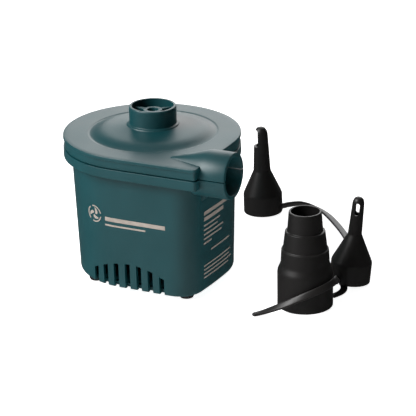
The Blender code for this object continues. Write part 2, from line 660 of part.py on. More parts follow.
casing_plastic = material("casing plastic", TEAL, 0.5)
nozzle_plastic = material("nozzle plastic", CHARCOAL, 0.6)
black_plastic = material("black plastic", (0.02, 0.02, 0.022), 0.45)
foot_rubber = material("foot rubber", (0.015, 0.015, 0.015), 0.8)
inner_plastic = material("inner plastic", (0.05, 0.05, 0.055), 0.55)
steel = material("steel", (0.55, 0.55, 0.56), 0.35, 1.0)
brass = material("brass", (0.65, 0.5, 0.25), 0.35, 1.0)
copper = material("copper windings", (0.5, 0.2, 0.1), 0.4, 1.0)
magnet = material("magnet", (0.06, 0.06, 0.065), 0.5, 0.6)
cell_sleeve = material("cell sleeve", (0.05, 0.2, 0.45), 0.4)
board_green = material("board green", (0.02, 0.16, 0.07), 0.4)
lamp_lens = material("lamp lens", (0.8, 0.82, 0.78), 0.2)
wire_red = material("wire red", (0.5, 0.02, 0.02), 0.5)
wire_black = material("wire black", (0.02, 0.02, 0.02), 0.5)

paint(casing_plastic, make_top_cover(), make_body_shell(), make_base_plate())
paint(foot_rubber, *make_feet())
for number, (post_x, post_y) in enumerate(LOWER_POSTS, 1):
    paint(steel, make_screw(f"base_screw_{number}", post_x, post_y, BODY_BOTTOM - GAP, False))
for number, (post_x, post_y) in enumerate(UPPER_POSTS, 1):
    paint(steel, make_screw(f"floor_screw_{number}", post_x, post_y, FLOOR_TOP + GAP, True))
for number, side_x in enumerate((-8.0, 8.0), 1):
    motor_screw = make_screw(f"motor_screw_{number}", *beside_motor(side_x)[:2], FLOOR_TOP + GAP, True)
    motor_screw.data.transform(Matrix.Diagonal((0.8, 0.8, 0.55, 1)))
    paint(steel, motor_screw)
paint(inner_plastic, make_volute_floor(), make_impeller())

motor_can, motor_bush, motor_magnets, motor_armature, motor_end_cap, motor_shaft = make_motor()
paint(steel, motor_can, motor_shaft)
paint(brass, motor_bush)
paint(magnet, motor_magnets)
paint(copper, motor_armature)
paint(black_plastic, motor_end_cap)

battery_cells, battery_tray, battery_strips = make_cells()
paint(cell_sleeve, *battery_cells)
paint(inner_plastic, battery_tray)
paint(steel, *battery_strips)

circuit_board, charging_port, port_tongue, charge_lamp, charge_controller = make_board()
paint(board_green, circuit_board)
paint(steel, charging_port)
paint(black_plastic, port_tongue, charge_controller, *make_switch())
paint(lamp_lens, charge_lamp)
make_wires(wire_red, wire_black)

paint(nozzle_plastic, *make_nozzles())
make_tethers(nozzle_plastic)
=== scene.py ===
"""Fine meshes, finishes and a small studio for a rechargeable air pump and its tethered nozzles.

Sizes in this file are millimetres in the pump's own coordinates, whose zero is on the floor under the
middle of the round cover. A mesh moves into the shared frame, in metres, when it is finished. The
add-on's settings are in metres, as Blender shows lengths.
"""
import math

import bmesh
import bpy
from bpy.props import FloatProperty, FloatVectorProperty, IntProperty, PointerProperty
from bpy.types import Operator, Panel, PropertyGroup
from mathutils import Matrix, Vector


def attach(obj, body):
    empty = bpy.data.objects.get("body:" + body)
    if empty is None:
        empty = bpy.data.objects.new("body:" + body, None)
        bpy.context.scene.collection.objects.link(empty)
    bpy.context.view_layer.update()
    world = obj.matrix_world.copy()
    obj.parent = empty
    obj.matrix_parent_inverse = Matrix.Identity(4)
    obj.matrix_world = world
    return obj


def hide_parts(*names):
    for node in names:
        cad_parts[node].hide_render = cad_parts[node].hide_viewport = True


bl_info = {
    "name": "Rechargeable Air Pump",
    "version": (1, 0, 0),
    "blender": (4, 5, 0),
    "location": "View3D > Sidebar > Air Pump",
    "description": "Builds a rechargeable air pump with its tethered nozzles and a small studio",
    "category": "Add Mesh",
}

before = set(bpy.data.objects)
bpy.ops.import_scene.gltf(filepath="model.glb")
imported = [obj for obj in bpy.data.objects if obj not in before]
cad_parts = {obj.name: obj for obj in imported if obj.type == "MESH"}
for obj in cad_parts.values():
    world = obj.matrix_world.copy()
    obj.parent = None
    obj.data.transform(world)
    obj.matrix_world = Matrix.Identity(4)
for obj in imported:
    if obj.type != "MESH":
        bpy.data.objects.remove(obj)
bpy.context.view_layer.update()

MM = 0.001
PUMP_AT = Vector((-38.33, -32.7, 0.0))
TO_FRAME = Matrix.Scale(MM, 4) @ Matrix.Translation(PUMP_AT)

# Heights of the casing
BODY_BOTTOM = 3.0
FLANGE_BOTTOM = 70.7
BODY_TOP = 76.1
COVER_BOTTOM = 76.7
LIP_BOTTOM = 81.1
COVER_TOP = 83.2
COLLAR_TOP = 98.5

# Outlines: the round side's radius, the right side's reach, the front's reach, the corner's radius and
# how far the right side falls back on its way to the corner
FLANGE = (50.0, 52.0, 50.0, 1.8, 0.0)
BODY_HEAD = (45.2, 49.0, 45.5, 14.0, 1.5)
BODY_FOOT = (42.5, 47.4, 43.8, 14.0, 1.5)
HEAD_AT = 68.2
FOOT_AT = 5.4
WALL = 2.0
INK = 0.06
QUARTER_STEPS = 40
LINE_STEPS = 14
CORNER_STEPS = 8

# Inlet, which the fan shares its axis with, and outlet
INLET_AT = Vector((1.4, 0.6, 0.0))
ON_INLET = Matrix.Translation(INLET_AT)
COLLAR_BORE_R = 12.0
DOME_R = 37.3
HUB_TOP = 96.0
BLADE_BOTTOM = 65.6
BLADE_TOP = 79.4
OUTLET_Y = -32.3
OUTLET_Z = 76.1
OUTLET_BORE_R = 10.7
OUTLET_END = 67.0
FAIRING_END = 52.4
APEX = (30.0, -35.9, 82.6)

# Back panel
PANEL_Y = 40.6
SWITCH_Z = 42.0
PORT_Z = 23.0
LAMP_Z = 30.5
AT_LAMP = Matrix.Translation((0, 0, LAMP_Z)) @ Matrix.Rotation(-math.pi / 2, 4, "X")

UPPER_POSTS = [(-28.5, 28.5), (29.3, 29.3), (-39.7, -7.0), (43.6, -10.0)]
LOWER_POSTS = [(-27.2, 27.2), (29.0, 27.5), (-27.4, -27.6), (42.0, -15.0)]
FEET_AT = [(-21.0, -32.0), (38.0, -35.0), (-21.0, 31.0), (22.0, 32.5)]

# Nozzles
STEPPED_AT = (102.6, -16.7)
MEDIUM_AT = (23.9, 103.4)
MEDIUM_FOOT_R = 12.0
MEDIUM_LEAN = math.radians(1.3)
MEDIUM_LEAN_TOWARDS = math.radians(205)
SMALL_AT = (114.0, 21.5)
SMALL_FOOT_R = 11.7
SMALL_LEAN = math.radians(5.9)
SMALL_LEAN_TOWARDS = math.radians(35)


# ---- settings a user would change


def length(name, description, millimetres):
    return FloatProperty(name=name, description=description, default=millimetres * MM, unit="LENGTH")


def colour(name, description, default):
    return FloatVectorProperty(name=name, description=description, default=default, subtype="COLOR",
                               size=3, min=0.0, max=1.0)


class CasingSettings(PropertyGroup):
    """Sizes and colours of the casing."""

    plastic: colour("Casing Plastic", "Colour of the moulded casing", (0.0015, 0.060, 0.070))
    print_colour: colour("Printing", "Colour of the printed marks", (0.36, 0.31, 0.27))
    collar_radius: length("Collar Radius", "Outside radius of the inlet collar", 13.5)
    outlet_radius: length("Outlet Radius", "Outside radius of the outlet tube", 13.2)
    vent_count: IntProperty(name="Vents", description="Slots in each row of vents", default=7, min=1)
    vent_width: length("Vent Width", "Width of one vent slot", 3.2)
    vent_pitch: length("Vent Pitch", "Distance from one vent slot to the next", 7.15)
    vent_top: length("Vent Height", "Height of the middle vent slot's top", 18.4)
    vent_arch: length("Vent Arch", "Radius of the arch that the slots end on", 42.0)


class FanSettings(PropertyGroup):
    """Sizes of the fan behind the inlet."""

    blade_count: IntProperty(name="Blades", description="Blades on the impeller", default=9, min=3)
    tip_radius: length("Tip Radius", "Radius at the blades' outer ends", 28.6)
    root_radius: length("Root Radius", "Radius at the blades' inner ends", 11.0)
    thickness: length("Blade Thickness", "Thickness of one blade", 1.1)


class NozzleSettings(PropertyGroup):
    """Sizes and colours of the nozzles and their straps."""

    plastic: colour("Nozzle Plastic", "Colour of the nozzles and straps", (0.0105, 0.0095, 0.0092))
    strap_width: length("Strap Width", "Width of the flat straps", 4.0)
    strap_thickness: length("Strap Thickness", "Thickness of the flat straps", 1.6)
    ridge_pitch: length("Ridge Pitch", "Distance between the ridges on the strap's tail", 1.25)


class FastenerSettings(PropertyGroup):
    """Sizes of the screws and feet."""

    head_radius: length("Head Radius", "Radius of a casing screw's head", 2.2)
    head_height: length("Head Height", "Height of a casing screw's head", 1.6)
    shank_radius: length("Shank Radius", "Radius of a casing screw's shank", 1.2)
    foot_radius: length("Foot Radius", "Radius of a rubber foot", 4.2)
    foot_height: length("Foot Height", "Height of a rubber foot", 2.7)


class StudioSettings(PropertyGroup):
    """The floor and lights."""

    floor: colour("Floor", "Colour of the floor", (0.9, 0.9, 0.9))
    key_power: FloatProperty(name="Key Light", description="Power of the soft light at the front left",
                             default=21.0, unit="POWER")
    top_power: FloatProperty(name="Top Light", description="Power of the soft light overhead",
                             default=1.5, unit="POWER")
    back_power: FloatProperty(name="Back Light", description="Power of the soft light behind the pump",
                              default=8.5, unit="POWER")


# ---- node graphs


class Term:
    """A number socket that takes part in Python arithmetic by adding Math nodes."""

    def __init__(self, graph, socket):
        self.graph = graph
        self.socket = socket

    def combine(self, operation, *others):
        sockets = dict(enumerate((self, *others)))
        made = self.graph.node("ShaderNodeMath", {"operation": operation}, sockets)
        return Term(self.graph, made.outputs[0])

    def __add__(self, other):
        return self.combine("ADD", other)

    def __mul__(self, other):
        return self.combine("MULTIPLY", other)

    def __sub__(self, other):
        return self.combine("SUBTRACT", other)

    def __rsub__(self, other):
        return self * -1 + other

    def __truediv__(self, other):
        return self.combine("DIVIDE", other)

    __radd__ = __add__
    __rmul__ = __mul__

    def above(self, low, high):
        """0 under low and 1 over high, with a smooth step between."""
        made = self.graph.node("ShaderNodeMapRange", {"interpolation_type": "SMOOTHSTEP"},
                               {"Value": self, "From Min": low, "From Max": high})
        return Term(self.graph, made.outputs["Result"])


class Graph:
    """Adds nodes to the tree of one material, world or modifier."""

    def __init__(self, tree):
        self.tree = tree

    def node(self, kind, settings=None, sockets=None):
        """Make a node, give it its settings, then its sockets' values or links."""
        made = self.tree.nodes.new(kind)
        for key, value in (settings or {}).items():
            setattr(made, key, value)
        for key, value in (sockets or {}).items():
            if isinstance(value, Term):
                value = value.socket
            if isinstance(value, bpy.types.NodeSocket):
                self.tree.links.new(value, made.inputs[key])
            else:
                made.inputs[key].default_value = value
        return made

    def link(self, start, end):
        self.tree.links.new(start.socket if isinstance(start, Term) else start, end)

    def noise(self, place, scale, detail=2.0, rough=0.5):
        made = self.node("ShaderNodeTexNoise", None,
                         {"Vector": place, "Scale": scale, "Detail": detail, "Roughness": rough})
        return Term(self, made.outputs["Fac"])

    def mixed(self, factor, first, second):
        made = self.node("ShaderNodeMix", {"data_type": "RGBA"}, {"Factor": factor})
        for socket, value in zip((made.inputs[6], made.inputs[7]), (first, second)):
            if isinstance(value, bpy.types.NodeSocket):
                self.tree.links.new(value, socket)
            else:
                socket.default_value = value
        return made.outputs[2]


def rgba(rgb, brightness=1.0):
    return (*(min(1.0, part * brightness) for part in rgb), 1.0)


class Finish(Graph):
    """One material with a Principled shader, patterned by the object's own coordinates."""

    def __init__(self, name, **uniform):
        self.made = bpy.data.materials.new(name)
        self.made.use_nodes = True
        super().__init__(self.made.node_tree)
        self.shader = self.tree.nodes["Principled BSDF"]
        self.place = self.node("ShaderNodeTexCoord").outputs["Object"]
        for key, value in uniform.items():
            title = key.replace("_", " ").title().replace("Ior", "IOR")
            self.shader.inputs[title].default_value = value

    def stretched(self, scale):
        return self.node("ShaderNodeMapping", None, {"Vector": self.place, "Scale": scale}).outputs[0]

    def rim(self, radius):
        """1 along sharp edges and 0 on open surfaces."""
        rounded = self.node("ShaderNodeBevel", {"samples": 4}, {"Radius": radius})
        flat = self.node("ShaderNodeNewGeometry")
        dot = self.node("ShaderNodeVectorMath", {"operation": "DOT_PRODUCT"},
                        {0: rounded.outputs[0], 1: flat.outputs["Normal"]})
        return 1 - Term(self, dot.outputs["Value"])

    def bump(self, height, distance, strength=1.0):
        made = self.node("ShaderNodeBump", None,
                         {"Height": height, "Distance": distance, "Strength": strength})
        self.link(made.outputs[0], self.shader.inputs["Normal"])

    def set(self, socket, value):
        self.link(value, self.shader.inputs[socket])


def moulded_plastic(name, rgb, roughness, grain=0.00028, depth=0.000012, mottle=0.10, rim=0.5, **uniform):
    """Injection-moulded plastic: fine spark grain, slight mottling, edges polished by handling and a painted
    highlight along sharp edges, whose strength rim sets.
    """
    made = Finish(name, **uniform)
    cloud = made.noise(made.place, 38.0, 3.0)
    flow = made.noise(made.stretched((60.0, 60.0, 14.0)), 1.0, 2.0)
    speck = made.noise(made.place, 1.0 / grain, 2.0, 0.6)
    wear_and_edge_highlight = made.rim(0.0005).above(0.03, 0.30) * made.noise(made.place, 420.0, 2.0).above(0.25, 0.6)
    shade = cloud * 0.6 + flow * 0.4
    body = made.mixed(shade.above(0.3, 0.7), rgba(rgb, 1 - mottle), rgba(rgb, 1 + mottle))
    # Along sharp edges the colour is lightened: a painted highlight standing in for the light lines on the
    # edges. The lower roughness there is real polish from handling.
    made.set("Base Color", made.mixed(wear_and_edge_highlight * rim, body, rgba([part * 1.9 + 0.012 for part in rgb])))
    made.set("Roughness", roughness + (cloud - 0.5) * 0.10 + (speck - 0.5) * 0.10 - wear_and_edge_highlight * 0.10)
    made.bump(speck, depth)
    return made.made


def plated_metal(name, rgb, roughness, brush=(900.0, 900.0, 60.0)):
    """Plated or drawn metal: fine drawing marks, dull blooms and brighter edges."""
    made = Finish(name, metallic=1.0)
    drawn = made.noise(made.stretched(brush), 1.0, 3.0, 0.6)
    bloom = made.noise(made.place, 160.0, 3.0)
    wear_and_edge_highlight = made.rim(0.0002).above(0.05, 0.4)
    dull = made.mixed(bloom.above(0.35, 0.7), rgba(rgb), rgba(rgb, 0.72))
    made.set("Base Color", made.mixed(wear_and_edge_highlight * 0.6, dull, rgba(rgb, 1.35)))
    made.set("Roughness", roughness + drawn * 0.14 + bloom * 0.12 - wear_and_edge_highlight * 0.08)
    made.bump(drawn, 0.000006)
    return made.made


def rubber(name, rgb):
    """Soft matt rubber with a pitted skin and dust on it."""
    made = Finish(name, specular_ior_level=0.35)
    pit = made.noise(made.place, 2600.0, 3.0, 0.65)
    dust = made.noise(made.place, 210.0, 4.0).above(0.5, 0.75)
    made.set("Base Color", made.mixed(dust * 0.35, rgba(rgb), rgba([part + 0.05 for part in rgb])))
    made.set("Roughness", 0.78 + pit * 0.14)
    made.bump(pit, 0.00003)
    return made.made


def board_laminate(name):
    """Green solder resist over copper tracks on glass laminate."""
    made = Finish(name)
    split = made.node("ShaderNodeSeparateXYZ", None, {"Vector": made.place})
    across = Term(made, split.outputs["X"])
    up = Term(made, split.outputs["Z"])
    step = made.noise(made.place, 260.0, 0.0)
    tracks = ((across + up + step * 0.002) * 3600.0).combine("SINE").above(0.2, 0.5)
    weave = (across * 9000.0).combine("SINE") * (up * 9000.0).combine("SINE")
    made.set("Base Color", made.mixed(tracks, (0.004, 0.045, 0.017, 1), (0.010, 0.110, 0.040, 1)))
    made.set("Roughness", 0.32 + weave * 0.05 + tracks * 0.05)
    made.bump(tracks * 0.8 + weave * 0.2, 0.00002)
    return made.made


def wound_copper(name):
    """Enamelled copper in tight turns."""
    made = Finish(name, metallic=1.0)
    split = made.node("ShaderNodeSeparateXYZ", None, {"Vector": made.place})
    turns = (Term(made, split.outputs["Z"]) * 15000.0).combine("SINE") * 0.5 + 0.5
    age = made.noise(made.place, 300.0, 2.0)
    made.set("Base Color", made.mixed(age.above(0.3, 0.7), (0.52, 0.19, 0.07, 1), (0.36, 0.12, 0.05, 1)))
    made.set("Roughness", 0.24 + turns * 0.10 + age * 0.10)
    made.bump(turns, 0.00006)
    return made.made


def printed_sleeve(name, rgb):
    """Shrunk film over a cell: tight, glossy and a little crinkled."""
    made = Finish(name)
    wrinkle = made.noise(made.stretched((40.0, 500.0, 500.0)), 1.0, 3.0, 0.6)
    tint = made.noise(made.place, 60.0, 2.0)
    made.set("Base Color", made.mixed(tint, rgba(rgb, 0.85), rgba(rgb, 1.2)))
    made.set("Roughness", 0.22 + wrinkle * 0.16)
    made.bump(wrinkle, 0.00008)
    return made.made


def insulation(name, rgb):
    """Soft vinyl insulation on a lead."""
    made = Finish(name)
    skin = made.noise(made.place, 1500.0, 2.0)
    scuff = made.noise(made.place, 240.0, 3.0).above(0.55, 0.75)
    made.set("Base Color", made.mixed(scuff * 0.5, rgba(rgb), rgba([part * 0.8 + 0.03 for part in rgb])))
    made.set("Roughness", 0.38 + skin * 0.10 + scuff * 0.15)
    made.bump(skin, 0.00001)
    return made.made


def lamp_lens(name):
    """Milky green light pipe with a faint glow."""
    made = Finish(name, transmission_weight=0.35, ior=1.49, emission_strength=0.6)
    haze = made.noise(made.place, 900.0, 2.0)
    made.set("Base Color", made.mixed(haze, (0.25, 0.62, 0.30, 1), (0.42, 0.80, 0.44, 1)))
    made.set("Emission Color", made.mixed(haze, (0.05, 0.30, 0.08, 1), (0.10, 0.42, 0.12, 1)))
    made.set("Roughness", 0.18 + haze * 0.15)
    made.bump(haze, 0.00001)
    return made.made


def pad_print(name, rgb):
    """Thin printed ink: slightly patchy, with pinholes."""
    made = Finish(name)
    patch = made.noise(made.place, 260.0, 3.0)
    pinhole = made.noise(made.place, 2400.0, 1.0)
    made.set("Base Color", made.mixed(patch.above(0.3, 0.75), rgba(rgb, 0.9), rgba(rgb, 1.08)))
    made.set("Roughness", 0.46 + patch * 0.12)
    made.bump(pinhole, 0.000008)
    return made.made


FINISHES = {}


def make_finishes(casing, nozzles):
    """Every finish, by the slot that it belongs to."""
    dark = tuple(part * 0.6 for part in casing.plastic)
    FINISHES.update({
        "casing": moulded_plastic("casing_plastic", casing.plastic, 0.44, specular_ior_level=0.75),
        "inner_plastic": moulded_plastic("inner_plastic", dark, 0.58, rim=0.3),
        "feet": rubber("foot_rubber", (0.012, 0.012, 0.013)),
        "fasteners": plated_metal("screw_zinc", (0.56, 0.56, 0.54), 0.26),
        "motor_steel": plated_metal("motor_steel", (0.50, 0.51, 0.52), 0.30),
        "port_steel": plated_metal("port_steel", (0.62, 0.62, 0.63), 0.22),
        "brass": plated_metal("bush_brass", (0.72, 0.52, 0.22), 0.28),
        "magnets": plated_metal("magnet_ferrite", (0.06, 0.06, 0.065), 0.55),
        "windings": wound_copper("armature_windings"),
        "black_plastic": moulded_plastic("switch_plastic", (0.013, 0.013, 0.014), 0.40, rim=0.6),
        "cell_sleeve": printed_sleeve("cell_sleeve", (0.06, 0.22, 0.42)),
        "board": board_laminate("board_laminate"),
        "lamp": lamp_lens("lamp_lens"),
        "wire_red": insulation("red_insulation", (0.42, 0.02, 0.015)),
        "wire_black": insulation("black_insulation", (0.012, 0.012, 0.012)),
        "nozzles": moulded_plastic("nozzle_plastic", nozzles.plastic, 0.44, grain=0.0004,
                                   depth=0.00001, mottle=0.14, rim=0.35),
        "tethers": moulded_plastic("strap_plastic", [part * 1.6 for part in nozzles.plastic], 0.42,
                                   grain=0.0004, mottle=0.12, rim=0.45),
        "print": pad_print("pad_print", casing.print_colour),
    })


# ---- meshes


def finish_mesh(name, bm, place=None, smooth=33):
    """Turn a mesh in millimetres into an object at the origin of the shared frame."""
    bm.transform(TO_FRAME @ (place or Matrix.Identity(4)))
    bmesh.ops.recalc_face_normals(bm, faces=bm.faces)
    mesh = bpy.data.meshes.new(name)
    bm.to_mesh(mesh)
    bm.free()
    shade(mesh, smooth)
    made = bpy.data.objects.new(name, mesh)
    bpy.context.scene.collection.objects.link(made)
    return made


def shade(mesh, smooth=33):
    mesh.shade_smooth()
    mesh.set_sharp_from_angle(angle=math.radians(smooth))


def settle(thing):
    """Turn an object's modifiers into its plain mesh."""
    graph = bpy.context.evaluated_depsgraph_get()
    mesh = bpy.data.meshes.new_from_object(thing.evaluated_get(graph))
    thing.modifiers.clear()
    thing.data = mesh
    return thing


def combine(target, operation, *tools):
    """Join tools to a target with UNION, or cut them out of it with DIFFERENCE."""
    for tool in tools:
        step = target.modifiers.new(tool.name, "BOOLEAN")
        step.operation = operation
        step.object = tool
        step.solver = "EXACT"
        settle(target)
        bpy.data.objects.remove(tool)
    shade(target.data)
    return target


def gathered(name, things):
    """Several closed meshes as one object."""
    bm = bmesh.new()
    for thing in things:
        bm.from_mesh(thing.data)
        bpy.data.objects.remove(thing)
    mesh = bpy.data.meshes.new(name)
    bm.to_mesh(mesh)
    bm.free()
    made = bpy.data.objects.new(name, mesh)
    bpy.context.scene.collection.objects.link(made)
    return made


def paint(thing, slot):
    thing.data.materials.clear()
    thing.data.materials.append(FINISHES[slot])
    return thing


def mount(piece, body, slot, *nodes):
    """Give a finished piece its body and hide the CAD nodes that it stands for; the slot is not used."""
    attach(piece, body)
    if nodes:
        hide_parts(*nodes)
    return piece


def soften(line, closed=False, arc=4):
    """Round a line's corners; each point is (*coordinates, how far back the rounding starts)."""
    result = []
    last = len(line) - 1
    for index, (*point, back) in enumerate(line):
        if back <= 0 or (not closed and index in (0, last)):
            result.append(tuple(point))
            continue
        before = line[index - 1][:-1]
        after = line[(index + 1) % len(line)][:-1]
        ends = []
        for other in (before, after):
            gap = math.dist(point, other)
            share = min(back, gap * 0.46) / gap
            ends.append([p + (o - p) * share for p, o in zip(point, other)])
        for step in range(arc + 1):
            t = step / arc
            result.append(tuple(s * (1 - t) ** 2 + 2 * p * t * (1 - t) + e * t ** 2
                                for s, p, e in zip(ends[0], point, ends[1])))
    return result


def skin(bm, upper, lower):
    """Faces between two loops of vertices; a loop of one vertex is a pole."""
    count = max(len(upper), len(lower))
    for i in range(count):
        j = (i + 1) % count
        if len(upper) == 1:
            bm.faces.new((upper[0], lower[i], lower[j]))
        elif len(lower) == 1:
            bm.faces.new((upper[i], lower[0], upper[j]))
        else:
            bm.faces.new((upper[i], lower[i], lower[j], upper[j]))


def lofted(name, loops, ring=False, place=None):
    """Skin loops of points; a ring joins the last loop to the first, otherwise the ends are capped."""
    bm = bmesh.new()
    rows = [[bm.verts.new(point) for point in loop] for loop in loops]
    pairs = list(zip(rows, rows[1:]))
    if ring:
        pairs.append((rows[-1], rows[0]))
    else:
        for row in (rows[0], rows[-1]):
            if len(row) > 2:
                bm.faces.new(row)
    for upper, lower in pairs:
        skin(bm, upper, lower)
    return finish_mesh(name, bm, place)


def turned(name, profile, place=None, steps=96, closed=False):
    """Turn a profile of (radius, height) about Z."""
    loops = []
    for radius, height in profile:
        if radius < 0.0001:
            loops.append([(0, 0, height)])
            continue
        loops.append(circle(radius, height, steps))
    return lofted(name, loops, closed, place)


def circle(radius, height, steps):
    angles = [2 * math.pi * i / steps for i in range(steps)]
    return [(radius * math.cos(a), radius * math.sin(a), height) for a in angles]


def pipe(name, stations, steps=96):
    """A solid of round sections square to X, each (x, y, z, radius)."""
    loops = []
    for x, y, z, radius in stations:
        angles = [2 * math.pi * i / steps for i in range(steps)]
        loops.append([(x, y + radius * math.cos(a), z + radius * math.sin(a)) for a in angles])
    return lofted(name, loops)


def soft_box(name, low, high, fillet=0.0, place=None, segments=3):
    """A box with rounded edges."""
    bm = bmesh.new()
    bmesh.ops.create_cube(bm, size=1)
    bmesh.ops.scale(bm, vec=[h - l for l, h in zip(low, high)], verts=bm.verts)
    bmesh.ops.translate(bm, vec=[(h + l) / 2 for l, h in zip(low, high)], verts=bm.verts)
    if fillet > 0:
        bmesh.ops.bevel(bm, geom=list(bm.edges), offset=fillet, segments=segments, affect="EDGES",
                        profile=0.5)
    return finish_mesh(name, bm, place)


def prism(name, outline, low, high, fillet=0.0, place=None):
    """Extrude an outline of (x, y) points from one height to another."""
    bm = bmesh.new()
    face = bm.faces.new([bm.verts.new((x, y, low)) for x, y in outline])
    lifted = bmesh.ops.extrude_face_region(bm, geom=[face])["geom"]
    bmesh.ops.translate(bm, vec=(0, 0, high - low),
                        verts=[v for v in lifted if isinstance(v, bmesh.types.BMVert)])
    if fillet > 0:
        bmesh.ops.bevel(bm, geom=list(bm.edges), offset=fillet, segments=2, affect="EDGES", profile=0.5)
    return finish_mesh(name, bm, place)


def rod(name, radius, low, high, place=None, steps=32):
    return turned(name, [(0, low), (radius, low), (radius, high), (0, high)], place, steps)


# ---- outlines of the casing


def outline(round_r, right, front, corner, falls_back):
    """A round outline with one square corner, at the front right."""
    points = []
    quarter = math.pi / 2
    for x_r, y_r, first in ((right, round_r, 0), (round_r, round_r, 1), (round_r, front, 2)):
        for step in range(QUARTER_STEPS):
            angle = quarter * (first + step / QUARTER_STEPS)
            points.append((x_r * math.cos(angle), y_r * math.sin(angle)))
    for step in range(LINE_STEPS):
        points.append(((right - falls_back - corner) * step / LINE_STEPS, -front))
    for step in range(CORNER_STEPS):
        angle = quarter * (3 + step / CORNER_STEPS)
        points.append((right - falls_back - corner + corner * math.cos(angle),
                       corner - front + corner * math.sin(angle)))
    for step in range(LINE_STEPS):
        share = 1 - step / LINE_STEPS
        points.append((right - falls_back * share ** 2, (corner - front) * share))
    return points


def inset(sizes, by):
    round_r, right, front, corner, falls_back = sizes
    return (round_r - by, right - by, front - by, max(corner - by, 0.5), falls_back)


def station(sizes, by, height, back=0.0):
    """One corner of a casing section: an outline moved in by some distance, at a height."""
    return (*inset(sizes, by), height, back)


def outline_loops(stations, arc=4):
    loops = []
    for *sizes, height in soften(stations, arc=arc):
        loops.append([(x, y, height) for x, y in outline(*sizes)])
    return loops


def round_loops(profile, arc=4):
    """Circles round the inlet whose points lie at the same bearings as the flange outline's points."""
    bearings = [math.atan2(y, x) for x, y in outline(*FLANGE)]
    return [[(INLET_AT.x + radius * math.cos(a), INLET_AT.y + radius * math.sin(a), height)
             for a in bearings] for radius, height in soften(profile, arc=arc)]


def wall_sizes(height):
    """The casing wall's outline at a height."""
    t = (height - FOOT_AT) / (HEAD_AT - FOOT_AT)
    return [a + (b - a) * t for a, b in zip(BODY_FOOT, BODY_HEAD)]


def front_point(x, height, stand_off):
    """A point off the front wall, across it and up it."""
    round_r, _, front, _, _ = wall_sizes(height)
    depth = front + stand_off
    if x < 0:
        depth *= math.sqrt(max(0.0, 1 - (x / (round_r + stand_off)) ** 2))
    return (x, -depth, height)


def side_point(y, height, stand_off):
    """A point off the right wall, along it and up it."""
    round_r, right, front, corner, falls_back = wall_sizes(height)
    reach = right + stand_off
    if y > 0:
        return (reach * math.sqrt(max(0.0, 1 - (y / (round_r + stand_off)) ** 2)), y, height)
    share = min(1.0, -y / (front - corner))
    return (reach - falls_back * share ** 2, y, height)


# ---- casing


def outlet_stations(*steps):
    """Stations of a pipe on the outlet's axis, each step (distance from the tube's end, radius)."""
    return [(OUTLET_END + along, OUTLET_Y, OUTLET_Z, radius) for along, radius in steps]


def tube_end(radius):
    """The last stations of the outlet tube, with its rounded rim."""
    return outlet_stations((-0.6, radius), (-0.18, radius - 0.18), (0, radius - 0.6))


def bore_end():
    """The last stations of the outlet's bore, flared at the rim."""
    return outlet_stations((-0.8, OUTLET_BORE_R), (-0.1, OUTLET_BORE_R + 0.35), (1, OUTLET_BORE_R + 1.0))


def rods_on_posts(name, radius, upper, lower):
    """Upright rods on the upper and the lower screw posts, each set from one height to another."""
    return gathered(name, [rod(f"{name}_{x}_{y}", radius, low, high, Matrix.Translation((x, y, 0)))
                           for places, (low, high) in ((UPPER_POSTS, upper), (LOWER_POSTS, lower))
                           for x, y in places])


